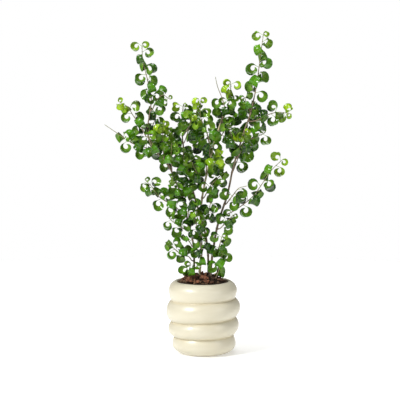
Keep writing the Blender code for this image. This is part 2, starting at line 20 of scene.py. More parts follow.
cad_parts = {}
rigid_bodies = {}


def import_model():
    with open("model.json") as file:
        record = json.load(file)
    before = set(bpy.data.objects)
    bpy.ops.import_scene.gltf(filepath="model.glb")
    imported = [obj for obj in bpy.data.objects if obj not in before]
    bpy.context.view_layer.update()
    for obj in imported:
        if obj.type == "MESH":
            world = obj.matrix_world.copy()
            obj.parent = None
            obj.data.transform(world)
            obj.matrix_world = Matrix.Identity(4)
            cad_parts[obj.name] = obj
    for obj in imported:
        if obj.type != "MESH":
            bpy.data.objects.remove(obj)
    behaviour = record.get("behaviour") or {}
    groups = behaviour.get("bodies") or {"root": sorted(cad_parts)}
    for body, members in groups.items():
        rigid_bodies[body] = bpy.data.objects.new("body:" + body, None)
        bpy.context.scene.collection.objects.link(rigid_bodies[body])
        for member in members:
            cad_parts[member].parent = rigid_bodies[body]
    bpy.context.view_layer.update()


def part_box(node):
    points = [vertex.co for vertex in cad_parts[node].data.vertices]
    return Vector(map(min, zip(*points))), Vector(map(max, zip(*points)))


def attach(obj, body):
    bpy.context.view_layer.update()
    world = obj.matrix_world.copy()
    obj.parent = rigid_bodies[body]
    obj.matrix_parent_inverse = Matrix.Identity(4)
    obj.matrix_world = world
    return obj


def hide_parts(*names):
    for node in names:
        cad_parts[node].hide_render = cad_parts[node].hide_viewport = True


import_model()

bl_info = {
    "name": "Potted curly-leaf fig",
    "version": (1, 0, 0),
    "blender": (4, 5, 0),
    "location": "3D View > Sidebar > Fig",
    "description": "Builds the finished pot, soil, bark, stems, twigs and leaves of a curly-leaf fig",
    "category": "Object",
}

MM = 0.001
GAP = 0.0003  # kept between solids that stand together

# ---- the drawing of the pot and the plant ----
RING_SHARES = (38.5, 36, 44, 39.5)  # of the pot's height, from the base up
RING_BULGE = 1.5  # 1 makes each ring's profile half an ellipse, and more makes it more pointed
DOME_SHARES = (0.75, 0.4, 0.0)  # of the mouth's radius, where the soil's solid has corners
DRAWN_CROWN = (398.0, 214.0, 538.0)  # its width, depth and height in the drawing's millimetres
DRAWN_MOUTH = 56.0  # the mouth's radius in the same drawing
CHIP_REACH = 0.014  # a solid bark chip's length, which the leaves stay above
CHIP_RISE = 0.0015  # how far a split chip stands above its solid
CHIP_SPREAD = 0.93  # its size against its solid
CRUMB_SHARE = 0.93  # the share of the mouth's radius that crumbs lie within
BARK_SHARE = 0.79  # the share that small flakes lie within, so that none reaches over the lip
BARE_SIDE = (0.2, 0.35)  # in shares of the mouth's radius: right of and before this there is little bark
SOLID_LEAF_THICKNESS = 0.0014
TWIG_TAPER = 0.5  # the share of its radius that a twig loses on the way to its tip
LEAF_FOLD = math.radians(26)  # how far each half of a leaf rises from flat
LEAF_WIDTHS = (0.12, 0.85, 1.0, 0.72)  # at even steps from the stalk to the pointed tip
LEAF_TIGHTENING = 0.42  # the share of its radius that the curl loses by the tip
LEAF_TURN = (270, 335)  # how far a leaf curls round, in degrees
LEAF_LIFT = (55, 75)  # how far its stalk stands off the twig, in degrees
LEAF_TWIST = 137.5  # from one leaf to the next round the twig, in degrees
LEAF_STRAY = 15  # from that place, in degrees
LEAF_ROLL = 30  # round its own stalk, in degrees
LEAF_BREADTHS = (0.9, 1.1)  # against LEAF_WIDTH
YOUNG_FROM = 0.6  # the share of a twig past which its leaves are young
YOUNG_SMALLER = 0.5  # how much smaller a leaf is for each unit of share past that
CLEARANCE = 0.0012  # kept between leaves and everything round them
SWING = 20  # tried to either side of a leaf's place until it is clear, in degrees
SWINGS = 12  # tried before the leaf is made smaller
SHRINKS = 3
SHRINK = 0.08
STEM_EXTRA = 2  # straight stretches of a stem beyond its number of drawn points

# Stems: radius in mm at the foot and at the top, then points (x, y, height) in mm, with heights
# from the edge of the soil.
STEMS = {
    "stem_pale": (
        3.1,
        1.5,
        [(-6, 0, 0), (-6.5, 0, 30), (-3, 0, 66), (-4, 0, 113), (-5, 2, 145), (0, 4, 195)]
        + [(12, 4, 250), (24, 2, 300), (38, 0, 345)],
    ),
    "stem_right": (
        2.8,
        1.4,
        [(17, -6, 0), (18, -6, 39), (24, -5, 83), (30, -4, 118), (39, -2, 150), (54, 0, 194)]
        + [(65, 0, 248), (78, 0, 291), (90, 2, 330), (104, 2, 367), (110, 2, 396)],
    ),
    "stem_left": (
        2.3,
        1.3,
        [(-19, 0, 0), (-19, 0, 59), (-20, 0, 87), (-30, 0, 118), (-38, 0, 165), (-52, 0, 205)]
        + [(-69, 0, 246), (-92, 0, 275), (-118, 0, 310), (-117, 0, 350), (-111, 0, 388)],
    ),
    "stem_green": (
        2.6,
        1.4,
        [(12, 12, 0), (12, 13, 57), (5, 15, 110), (-10, 17, 160), (-24, 18, 210)]
        + [(-36, 18, 260), (-44, 16, 310), (-45, 12, 345)],
    ),
}

# Shoots: the stem each grows from and the height there (None at the stem's top), the points its
# twig then passes through, its number of leaves, their size against a full-grown leaf, and the share of
# the twig that is bare at its foot and at its tip. A shoot with no stem springs from the soil.
SHOOTS = {
    "right_leader": (
        "stem_right", None, [(117, 0, 432), (124, 0, 490), (131, 0, 538)], 10, 1.0, 0.05, 0.0
    ),
    "right_collar_shoot": ("stem_right", 370, [(96, -16, 385), (88, -26, 402)], 4, 0.8, 0.2, 0.0),
    "right_far_shoot": (
        "stem_right", 350, [(118, -8, 352), (136, -14, 362), (160, -16, 369), (187, -14, 366)],
        9, 0.9, 0.15, 0.0,
    ),
    "right_mid_shoot": ("stem_right", 309, [(108, 10, 312), (135, 15, 324)], 5, 1.0, 0.2, 0.0),
    "right_front_shoot": ("stem_right", 270, [(84, -24, 292), (90, -40, 330)], 5, 1.05, 0.3, 0.0),
    "right_low_shoot": (
        "stem_right", 150, [
            (62, -10, 156), (108, -14, 190), (130, -14, 220), (150, -12, 248), (174, -10, 270),
        ],
        10, 1.0, 0.25, 0.0,
    ),
    "right_inner_shoot": (
        "stem_right", 172, [(66, -22, 195), (78, -34, 210), (91, -38, 214)], 4, 0.9, 0.2, 0.2
    ),
    "right_lower_shoot": ("stem_right", 120, [(50, -12, 134), (68, -14, 152)], 5, 0.9, 0.3, 0.0),
    "right_sprout": (None, None, [(26, -20, 0), (36, -24, 40), (42, -24, 72)], 4, 0.95, 0.25, 0.0),
    "left_leader": (
        "stem_left", None, [(-118, 0, 433), (-126, 0, 465), (-130, 0, 490), (-130, 0, 514)],
        10, 0.95, 0.05, 0.0,
    ),
    "left_inner_high_shoot": (
        "stem_left", 372, [(-100, -8, 392), (-86, -14, 405), (-70, -18, 396)], 5, 0.9, 0.15, 0.0
    ),
    "left_high_shoot": (
        "stem_left", 316, [(-134, -2, 339), (-151, -4, 363), (-162, -4, 380), (-181, -4, 391)],
        8, 0.9, 0.15, 0.0,
    ),
    "left_far_shoot": (
        "stem_left", 290, [(-130, -4, 296), (-152, -6, 303), (-184, -6, 324), (-208, -6, 340)],
        7, 0.95, 0.1, 0.24,
    ),
    "left_front_shoot": ("stem_left", 280, [(-106, -26, 300), (-116, -44, 322)], 5, 0.95, 0.25, 0.0),
    "left_rosette_shoot": ("stem_left", 268, [(-86, -20, 300), (-85, -28, 345)], 8, 0.95, 0.3, 0.0),
    "left_mid_shoot": (
        "stem_left", 150, [(-60, -10, 168), (-95, -13, 190), (-110, -13, 211), (-124, -13, 225)],
        10, 0.95, 0.2, 0.0,
    ),
    "left_lower_shoot": ("stem_left", 118, [(-50, -9, 125), (-72, -9, 142)], 5, 0.95, 0.25, 0.0),
    "left_knee_shoot": ("stem_left", 82, [(-27, -10, 90), (-38, -18, 104)], 2, 0.95, 0.4, 0.0),
    "left_low_shoot": (
        "stem_left", 50, [(-30, -8, 60), (-52, -14, 70), (-74, -14, 90)], 7, 0.85, 0.3, 0.0
    ),
    "left_sprout": (None, None, [(-30, -14, 0), (-30, -18, 25), (-27, -20, 46)], 4, 0.8, 0.3, 0.0),
    "centre_leader": (
        "stem_pale", None, [(47, 0, 374), (43, 0, 394), (32, 0, 422), (28, 0, 439)], 5, 0.85, 0.1, 0.45
    ),
    "centre_top_shoot": (
        "stem_pale", 330, [(50, 12, 368), (60, 14, 405), (60, 12, 432)], 9, 0.9, 0.25, 0.0
    ),
    "centre_left_shoot": (
        "stem_pale", 290, [(8, -6, 328), (-5, -9, 360), (-4, -8, 396)], 8, 0.85, 0.3, 0.0
    ),
    "centre_front_shoot": ("stem_pale", 242, [(24, -28, 262), (38, -48, 272)], 7, 0.95, 0.4, 0.0),
    "centre_low_shoot": ("stem_pale", 185, [(18, -20, 215), (44, -32, 242)], 7, 0.95, 0.3, 0.0),
    "centre_foot_shoot": ("stem_pale", 48, [(-2, -14, 66), (6, -22, 98)], 5, 0.85, 0.2, 0.0),
    "centre_waist_shoot": ("stem_pale", 100, [(-12, -16, 122), (-20, -24, 156)], 7, 0.9, 0.25, 0.0),
    "right_foot_shoot": ("stem_right", 62, [(34, -18, 80), (42, -26, 108)], 5, 1.0, 0.25, 0.0),
    "left_waist_shoot": ("stem_left", 136, [(-30, -16, 160), (-26, -26, 194)], 7, 0.9, 0.25, 0.0),
    "green_waist_shoot": ("stem_green", 128, [(12, -2, 152), (18, -12, 184)], 7, 0.9, 0.3, 0.0),
    "centre_back_shoot": ("stem_pale", 235, [(8, 42, 275), (-4, 80, 308)], 7, 1.0, 0.3, 0.0),
    "centre_back_high_shoot": ("stem_pale", 300, [(50, 40, 330), (70, 68, 358)], 7, 1.0, 0.3, 0.0),
    "green_leader": ("stem_green", None, [(-44, 8, 364), (-42, 2, 384)], 5, 0.9, 0.1, 0.0),
    "green_front_shoot": ("stem_green", 232, [(-40, -14, 262), (-42, -44, 296)], 7, 1.0, 0.35, 0.0),
    "green_low_shoot": ("stem_green", 188, [(-46, -14, 208), (-66, -30, 226)], 7, 1.05, 0.4, 0.0),
    "green_back_left_shoot": ("stem_green", 258, [(-60, 56, 292), (-80, 84, 320)], 7, 1.0, 0.3, 0.0),
    "green_back_shoot": ("stem_green", 206, [(-30, 58, 236), (-38, 92, 262)], 7, 1.0, 0.3, 0.0),
    "left_crown_shoot": ("stem_left", 244, [(-68, -32, 272), (-66, -52, 306)], 5, 0.95, 0.35, 0.0),
    "green_crown_shoot": ("stem_green", 302, [(-30, -24, 334), (-22, -40, 362)], 7, 0.95, 0.35, 0.0),
    "centre_crown_shoot": ("stem_pale", 270, [(14, -34, 308), (6, -54, 338)], 7, 0.95, 0.35, 0.0),
    "right_crown_shoot": ("stem_right", 292, [(64, -36, 314), (54, -48, 344)], 7, 0.95, 0.35, 0.0),
    "centre_inner_shoot": ("stem_pale", 215, [(-12, -28, 240), (-26, -48, 270)], 7, 0.95, 0.35, 0.0),
    "right_back_shoot": ("stem_right", 240, [(80, 40, 275), (92, 68, 306)], 7, 1.0, 0.3, 0.0),
    "left_back_shoot": ("stem_left", 240, [(-84, 44, 275), (-100, 68, 304)], 7, 1.0, 0.3, 0.0),
    "right_back_high_shoot": ("stem_right", 328, [(100, 36, 354), (108, 58, 384)], 7, 0.95, 0.3, 0.0),
    "green_back_high_shoot": ("stem_green", 318, [(-22, 46, 350), (-6, 64, 378)], 7, 0.95, 0.3, 0.0),
    "left_back_high_shoot": ("stem_left", 326, [(-106, 38, 346), (-100, 58, 368)], 5, 0.95, 0.35, 0.0),
}

# Bark chips: (x, y) from the pot's axis in shares of the mouth's radius, the way each points and its
# tilt, both in degrees, and its size against a full-sized chip.
CHIPS = (
    (-0.48, -0.68, 20, 12, 1.1),
    (-0.18, -0.75, 75, -10, 0.9),
    (0.07, -0.54, -35, 14, 1.2),
    (0.36, -0.71, 50, -8, 0.8),
    (0.68, -0.43, 10, 10, 1.0),
    (0.54, 0.54, 80, -12, 1.1),
    (-0.54, 0.50, -60, 12, 1.0),
)

# How yellow the tip leaves of a shoot are, from 0 to 1, where they aren't plain green.
YOUNG_SHOOTS = {
    "right_leader": 0.6,
    "right_far_shoot": 0.75,
    "right_low_shoot": 0.6,
    "right_front_shoot": 0.8,
    "left_leader": 0.55,
    "left_high_shoot": 0.85,
    "left_far_shoot": 0.5,
    "left_rosette_shoot": 0.8,
    "left_inner_high_shoot": 0.5,
    "green_leader": 0.85,
    "centre_left_shoot": 0.95,
    "centre_top_shoot": 1.0,
    "centre_front_shoot": 0.95,
    "centre_leader": 0.6,
    "centre_waist_shoot": 0.5,
    "green_crown_shoot": 0.6,
}
PLAIN_YOUTH = 0.36

# The flat leaf: half widths at even steps from the stalk's top to the pointed tip.
BLADE_OUTLINE = (0.11, 0.36, 0.60, 0.79, 0.92, 0.99, 1.0, 0.96, 0.88, 0.76, 0.61, 0.43, 0.23)
BLADE_RIPPLE = (0, 0.02, 0.03, 0.01, -0.02, -0.03, 0, 0.03, 0.03, 0, -0.02, -0.02, 0)
BLADE_FOLD = math.radians(33)  # how far each half of a leaf rises from flat
TIP_CURL = math.radians(40)  # how much further a leaf curls than its solid
TIP_SIZES = (0.62, 0.76)  # the newest leaf of a shoot against a full-grown one
TIP_TURN = math.radians(325)  # how far the newest leaf curls round
BARE_TIP = 0.1  # the bare share of a twig above which it ends in a bud, not a leaf
CROWDED_SIZES = (1.0, 0.94, 0.88, 0.82, 0.76, 0.70, 0.64)  # tried in turn until a leaf is clear
CLEAR_OF = ("_leaves", "_bark", "_mound")  # how the names end of the pieces that leaves keep clear of

TUBE_SIDES = 4  # of the rough rods that stand for stems, twigs and stalks while room is found
SOIL_STEPS = 34  # rings of faces from the soil's edge to its middle
LUMPY_REACH = 0.985  # the share of the mouth's radius within which the soil is lumpy
CRUMB_FINE, CRUMB_SPAN = 0.0013, 0.0062  # the finest crumb, and how much coarser they get
DOWN = Vector((0, 0, -1))
SKY_HEIGHT = 1.0  # above everything, where plumb lines start
JOINT_REACH = 0.002  # how far a swelling spreads along a stem or twig
JOINT_STOPS = (-0.0015, 0, 0.0015)  # extra sections beside each joint
CLOSEST_STOPS = 0.0004  # sections nearer to each other than this are left out
STEM_FOOT = ((0.012, 1.25), (0.004, 1.18))  # depth in the soil, and radius against the stem's own
BUD = ((0.8, 1.15), (2.4, 0.75), (4.2, 0.12))  # distance past the twig's end in its radii, and width

# The soft lamps: where each hangs, the point it is aimed at and its width, all in metres.
LAMPS = {
    "key": ((-2.05, -1.6, 1.95), (0, 0, 0.35), 0.9),
    "fill": ((2.0, -1.6, 1.1), (0, 0, 0.35), 1.6),
    "top": ((0.1, 0.3, 2.4), (0, 0, 0.4), 1.2),
}
CAMERA_SIDE = -0.009  # how far the camera stands to the left of the pot's axis


def length(name, text, default):
    """A size in metres that a user can change."""
    return FloatProperty(name=name, description=text, default=default, min=0.0, unit="LENGTH", precision=4)


def colour(name, text, default):
    """A colour that a user can change."""
    return FloatVectorProperty(
        name=name, description=text, default=default, size=3, min=0, max=1, subtype="COLOR"
    )


class PotSettings(bpy.types.PropertyGroup):
    height: length("Height", "From the table to the rim", 0.158)
    ring_radii: FloatVectorProperty(
        name="Ring radii",
        description="Half the width of each ring at its fullest, from the base up",
        default=(0.0695, 0.0775, 0.081, 0.0745),
        size=4,
        unit="LENGTH",
        precision=4,
    )
    groove_radii: FloatVectorProperty(
        name="Groove radii",
        description="Half the width of the pot in each groove between rings, from the base up",
        default=(0.064, 0.0685, 0.069),
        size=3,
        unit="LENGTH",
        precision=4,
    )
    base_radius: length("Base radius", "Half the width of the flat base", 0.047)
    mouth_radius: length("Mouth radius", "Half the width of the opening", 0.056)
    lip_radius: length("Lip radius", "Half the width of the top of the rim", 0.060)
    wall: length("Wall", "The thickness of the wall in its grooves", 0.008)
    floor: length("Floor", "The thickness of the bottom", 0.012)
    lean: length("Lean", "How far the rings drift to the left on the way up", 0.003)
    tilt: FloatProperty(name="Tilt", description="The slope of the middle groove", default=0.07)
    segments: IntProperty(name="Segments", description="Flats round each ring", default=128, min=24)
    glaze: colour("Glaze", "The cream of the rings", (0.625, 0.585, 0.455))
    # painted shade: this darker, warmer glaze is painted into the grooves as shade, and also laid in cloudy
    # patches at random
    glaze_patch_and_groove_shade: colour("Pooled glaze", "Where the glaze is thick, in the grooves", (0.60, 0.54, 0.385))
    glaze_speck: colour("Specks", "The fine specks in the glaze", (0.62, 0.52, 0.35))


class SoilSettings(bpy.types.PropertyGroup):
    depth_below_rim: length("Depth below the rim", "Where the soil meets the pot", 0.007)
    dome: length("Dome", "How far the soil rises to its middle", 0.014)
    heap: length("Heap", "How far the loose bark and crumbs rise above the packed soil", 0.005)
    roughness: length("Roughness", "How deep the lumps and hollows in the soil are", 0.0065)
    crumbs: IntProperty(name="Crumbs", description="Loose crumbs on the soil", default=640, min=0)
    flakes: IntProperty(name="Flakes", description="Small bark flakes between the chips", default=84, min=0)
    chip_length: length("Chip length", "A full-sized bark chip's length", 0.014)
    soil_colour: colour("Soil", "The dark of the moist soil", (0.022, 0.013, 0.008))
    crumb_colour: colour("Dry crumbs", "The lighter crumbs and fibres", (0.20, 0.125, 0.07))
    bark_colour: colour("Bark", "The reddish side of the bark", (0.34, 0.115, 0.055))
    bark_edge: colour("Bark edge", "The pale, torn edges of the bark", (0.58, 0.34, 0.22))


class PlantSettings(bpy.types.PropertyGroup):
    crown_height: length("Crown height", "From the soil's edge to the highest twig tip", 0.547)
    crown_width: length("Crown width", "From the leftmost to the rightmost twig tip", 0.398)
    crown_depth: length("Crown depth", "From the front twig tips to the back ones", 0.214)
    twig_radius: length("Twig radius", "Half the thickness of a twig at its foot", 0.0013)
    leaf_curl: length("Leaf curl", "Across the ring that a full-grown leaf curls into", 0.0190)
    leaf_width: length("Leaf width", "Across a full-grown leaf's two halves", 0.0235)
    leaf_thickness: length("Leaf thickness", "At the midrib of a full-grown leaf", 0.0009)
    petiole: length("Leaf stalk", "From the twig to the blade", 0.009)
    pale_bark: colour("Pale stem", "The straw-coloured middle stem", (0.80, 0.69, 0.40))
    grey_bark: colour("Grey bark", "The brown-grey bark of the old stems", (0.27, 0.19, 0.125))
    green_bark: colour("Green bark", "The skin of the youngest twigs", (0.16, 0.19, 0.045))
    leaf_old: colour("Old leaves", "The deep green of the oldest leaves", (0.002, 0.018, 0.002))
    leaf_green: colour("Leaves", "The green of most leaves", (0.072, 0.240, 0.003))
    leaf_young: colour("Young leaves", "The yellow-green of the newest leaves", (0.35, 0.54, 0.010))
    leaf_under: colour("Undersides", "The pale, dull underside of a leaf", (0.062, 0.168, 0.004))
    # also the colour of the painted glow on the leaves' undersides
    leaf_vein_and_glow: colour("Midribs", "The light midrib and stalk", (0.24, 0.42, 0.035))


class StageSettings(bpy.types.PropertyGroup):
    floor_size: length("Floor", "Across the round floor", 3.0)
    floor_colour: colour("Floor colour", "The pale floor", (0.86, 0.86, 0.85))
    floor_glow: FloatProperty(name="Floor glow", description="How far the lit paper glows", default=0.30)
    sky: FloatProperty(name="Room light", description="Strength of the room's even light", default=0.17)
    key: FloatProperty(name="Key light", description="The large soft lamp's power", default=96.0)
    fill: FloatProperty(name="Fill light", description="The soft lamp on the right's power", default=21.0)
    top: FloatProperty(name="Top light", description="The soft lamp overhead's power", default=40.0)
    lens: FloatProperty(name="Lens", description="The camera's focal length in millimetres", default=125.0)
    camera_distance: length("Camera distance", "From the plant to the camera", 3.0)
    camera_height: length("Camera height", "Above the floor", 0.64)
    camera_dip: FloatProperty(
        name="Camera dip", description="How far it looks down", default=math.radians(5.8), subtype="ANGLE"
    )


def settings():
    """The sizes and colours of the pot, the soil and the plant."""
    scene = bpy.context.scene
    return scene.fig_pot, scene.fig_soil, scene.fig_plant


# ---- working by hand: what every piece is made with ----


def deselect():
    """Leaves edit mode with nothing selected, ready for the next piece."""
    if bpy.context.mode != "OBJECT":
        bpy.ops.object.mode_set(mode="OBJECT")
    bpy.ops.object.select_all(action="DESELECT")


def take(*pieces):
    """Selects just these pieces, with the first one active."""
    deselect()
    for piece in pieces:
        piece.select_set(True)
    bpy.context.view_layer.objects.active = pieces[0]
    return pieces[0]


def named(name):
    """Names the object that was just made, and its mesh."""
    made = bpy.context.object
    made.name = name
    made.data.name = name
    return made


def select_where(keep):
    """Selects the vertices of the edited mesh that a test on their place keeps."""
    bpy.ops.mesh.select_mode(type="VERT")
    bpy.ops.mesh.select_all(action="DESELECT")
    edited = bmesh.from_edit_mesh(bpy.context.object.data)
    for vert in edited.verts:
        vert.select = keep(vert.co)
    edited.select_flush_mode()
    bmesh.update_edit_mesh(bpy.context.object.data)


def edit_all():
    """Enters edit mode with the whole mesh selected."""
    bpy.ops.object.mode_set(mode="EDIT")
    bpy.ops.mesh.select_all(action="SELECT")


def weld(nearer):
    """Merges the selected points nearer than this, faces outwards, and leaves edit mode."""
    bpy.ops.mesh.remove_doubles(threshold=nearer)
    bpy.ops.mesh.normals_make_consistent(inside=False)
    bpy.ops.object.mode_set(mode="OBJECT")


def shade(piece, degrees):
    """Shades a piece smooth, but for edges sharper than this."""
    take(piece)
    bpy.ops.object.shade_smooth_by_angle(angle=math.radians(degrees))


def modify(piece, kind, **values):
    """Gives a piece a modifier with these values and applies it."""
    take(piece)
    bpy.ops.object.modifier_add(type=kind)
    modifier = piece.modifiers[-1]
    for name, value in values.items():
        setattr(modifier, name, value)
    bpy.ops.object.modifier_apply(modifier=modifier.name)


def displace(piece, name, strength, grain, group="", middle=0.5):
    """Pushes a piece's surface in and out along its normals with a fine pattern."""
    texture = bpy.data.textures.new(name, "CLOUDS")
    texture.noise_scale = grain
    push = {"strength": strength, "mid_level": middle, "vertex_group": group}
    modify(piece, "DISPLACE", texture=texture, texture_coords="LOCAL", **push)


def copied(model, name):
    """A copy of a modelled piece with its own mesh."""
    made = model.copy()
    made.data = model.data.copy()
    made.name = made.data.name = name
    bpy.context.scene.collection.objects.link(made)
    return made


def joined(pieces, name):
    """Several pieces as one."""
    take(*pieces)
    if len(pieces) > 1:
        bpy.ops.object.join()
    return named(name)


def discard(model):
    """Removes a model that was only there to be copied."""
    mesh = model.data
    bpy.data.objects.remove(model)
    bpy.data.meshes.remove(mesh)


def mark(mesh, name, values, domain="POINT"):
    """Writes one number for each vertex or face, for a finish to read."""
    layer = mesh.attributes.get(name) or mesh.attributes.new(name, "FLOAT", domain)
    layer.data.foreach_set("value", values)


def place(piece, where):
    """Moves a piece's points, each to the place that a function gives."""
    for vert in piece.data.vertices:
        vert.co = where(vert.co)
    piece.data.update()


def on_frame(piece, finish, slot, *nodes):
    """Gives a finished piece its material, lets it ride on the frame and stand for CAD nodes."""
    piece.data.materials.clear()
    piece.data.materials.append(finish)
    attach(piece, "root")
    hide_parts(*nodes)


# ---- finishes ----


class Finish:
    """A material that is put together node by node on one shader."""

    def __init__(self, name, plain):
        self.material = bpy.data.materials.new(name)
        self.material.use_nodes = True
        self.tree = self.material.node_tree
        self.shader = self.tree.nodes["Principled BSDF"]
        for socket, value in plain.items():
            self.shader.inputs[socket].default_value = value
        self.place = self.add("TexCoord").outputs["Object"]

    def add(self, kind, inputs=(), **settings):
        """A node of this kind, with its settings and with values or links at its inputs."""
        node = self.tree.nodes.new("ShaderNode" + kind)
        for name, value in settings.items():
            setattr(node, name, value)
        for socket, value in dict(inputs).items():
            if isinstance(value, bpy.types.NodeSocket):
                self.tree.links.new(value, node.inputs[socket])
            else:
                node.inputs[socket].default_value = value
        return node

    def feed(self, socket, value):
        self.tree.links.new(value, self.shader.inputs[socket])

    def mark(self, name):
        """What was written on the mesh under this name."""
        return self.add("Attribute", attribute_name=name).outputs["Fac"]

    def stretched(self, x, y, z):
        """The place on the object, with the pattern stretched along its axes."""
        return self.add("Mapping", {"Vector": self.place, "Scale": (x, y, z)}).outputs["Vector"]

    def noise(self, scale, detail=2.0, vector=None):
        inputs = {"Vector": vector or self.place, "Scale": scale, "Detail": detail}
        return self.add("TexNoise", inputs).outputs["Fac"]

    def cells(self, scale, vector=None):
        inputs = {"Vector": vector or self.place, "Scale": scale}
        return self.add("TexVoronoi", inputs).outputs["Distance"]

    def math(self, operation, a, b=0.0):
        return self.add("Math", {0: a, 1: b}, operation=operation).outputs[0]

    def between(self, value, low, high, to_low=0.0, to_high=1.0):
        """A value's run from low to high, eased, as a run between two others."""
        inputs = {"Value": value, "From Min": low, "From Max": high}
        inputs |= {"To Min": to_low, "To Max": to_high}
        node = self.add("MapRange", inputs, interpolation_type="SMOOTHSTEP")
        return node.outputs["Result"]

    def blend(self, share, a, b):
        """Colour a turning into colour b with a share."""
        a, b = (c if isinstance(c, bpy.types.NodeSocket) else (*c, 1.0) for c in (a, b))
        return self.add("Mix", {0: share, 6: a, 7: b}, data_type="RGBA").outputs[2]

    def relief(self, height, depth, strength=1.0, under=None):
        """A bump of this height pattern, over another bump if that is given."""
        inputs = {"Height": height, "Distance": depth, "Strength": strength}
        if under:
            inputs["Normal"] = under
        return self.add("Bump", inputs).outputs["Normal"]


def ceramic_finish(pot):
    """Satin cream glaze with painted shade in its grooves, where it turns darker and warmer, cloudy patches
    of that colour, fine specks and a hand-smoothed skin.
    """
    made = Finish("cream_glaze", {"Coat Weight": 0.35, "Coat Roughness": 0.22, "IOR": 1.5})
    cloud = made.noise(18, 4)
    # painted shade: the glaze turns darker and warmer towards the bottom of each groove
    base = made.blend(made.between(made.mark("groove"), 0.15, 1.0), pot.glaze, pot.glaze_patch_and_groove_shade)
    patchy = made.blend(made.between(cloud, 0.35, 0.7, 0.0, 0.35), base, pot.glaze_patch_and_groove_shade)
    specks = made.between(made.noise(900, 2), 0.66, 0.74, 0.0, 0.45)
    made.feed("Base Color", made.blend(specks, patchy, pot.glaze_speck))
    made.feed("Roughness", made.between(made.noise(55, 3), 0.3, 0.7, 0.36, 0.52))
    smoothed = made.relief(made.noise(30, 3, made.stretched(1, 1, 5)), 0.0012, 0.35)
    made.feed("Normal", made.relief(made.noise(1300, 2), 0.00006, 0.35, smoothed))
    return made.material


def soil_finish(soil):
    """Dark, moist and crumbly, with lighter dry grains and painted shade in the pits of its grain bump."""
    made = Finish("potting_soil", {"Roughness": 0.95, "Specular IOR Level": 0.25})
    grains = made.cells(520)
    light = made.between(made.noise(260, 4), 0.5, 0.72, 0.0, 0.8)
    base = made.blend(light, soil.soil_colour, soil.crumb_colour)
    # painted shade: the soil is painted darker in the pits of the grain bump
    shaded = made.blend(made.between(grains, 0.0, 0.6, 0.75, 0.0), base, soil.soil_colour)
    made.feed("Base Color", shaded)
    made.feed("Normal", made.relief(made.noise(700, 5), 0.0007, 0.9, made.relief(grains, 0.0008, 0.8)))
    return made.material


def crumb_finish(soil):
    """Loose crumbs: each its own mix of dark soil, dry fibre and bark dust."""
    made = Finish("soil_crumbs", {"Roughness": 0.92, "Specular IOR Level": 0.25})
    tint = made.mark("tint")
    base = made.blend(made.between(tint, 0.35, 0.9), soil.soil_colour, soil.crumb_colour)
    ruddy = made.blend(made.between(tint, 0.86, 1.0, 0.0, 0.8), base, soil.bark_colour)
    grain = made.noise(900, 4)
    made.feed("Base Color", made.blend(made.between(grain, 0.5, 0.8, 0.0, 0.5), ruddy, soil.bark_edge))
    made.feed("Normal", made.relief(grain, 0.0005, 0.8))
    return made.material


def bark_finish(soil):
    """Split bark: fibres along each chip, dark hollows and pale torn edges."""
    made = Finish("split_bark", {"Roughness": 0.85, "Specular IOR Level": 0.3})
    run = made.add("CombineXYZ", {0: made.mark("along"), 1: made.mark("across"), 2: made.mark("tint")})
    drawn = made.add("Mapping", {"Vector": run.outputs[0], "Scale": (60, 700, 40)}).outputs[0]
    fibres = made.noise(1.0, 5, drawn)
    tint = made.mark("tint")
    moist = made.between(tint, 0.0, 1.0, 0.0, 0.8)
    base = made.blend(moist, soil.bark_colour, soil.soil_colour)
    pale = made.blend(made.between(fibres, 0.47, 0.72, 0.0, 0.85), base, soil.bark_edge)
    dark = made.blend(made.between(made.noise(240, 3), 0.38, 0.55, 0.6, 0.0), pale, soil.soil_colour)
    made.feed("Base Color", dark)
    made.feed("Normal", made.relief(fibres, 0.0008, 0.9, made.relief(made.noise(500, 4), 0.0005, 0.6)))
    return made.material


def stem_finish(name, bark, plant):
    """Smooth young bark with pale pores, fine cracks at the foot and a green skin higher up."""
    made = Finish(name, {"Specular IOR Level": 0.4})
    cracks = made.noise(420, 4, made.stretched(1, 1, 0.22))
    old = made.between(made.mark("youth"), 0.0, 0.5, 0.75, 0.15)
    dark = tuple(value * 0.42 for value in bark)
    seamed = made.blend(made.math("MULTIPLY", made.between(cracks, 0.58, 0.42), old), bark, dark)
    patch = made.blend(made.between(made.noise(95, 3), 0.45, 0.7, 0.0, 0.4), seamed, (0.42, 0.36, 0.27))
    pores = made.between(made.cells(620, made.stretched(1, 1, 1.8)), 0.16, 0.06, 0.0, 0.55)
    dotted = made.blend(pores, patch, (0.55, 0.47, 0.33))
    green = made.between(made.mark("youth"), 0.35, 1.0, 0.0, 0.9)
    made.feed("Base Color", made.blend(green, dotted, plant.green_bark))
    made.feed("Roughness", made.between(cracks, 0.3, 0.7, 0.75, 0.55))
    made.feed("Normal", made.relief(pores, 0.0002, 0.6, made.relief(cracks, 0.0004, 0.8)))
    return made.material


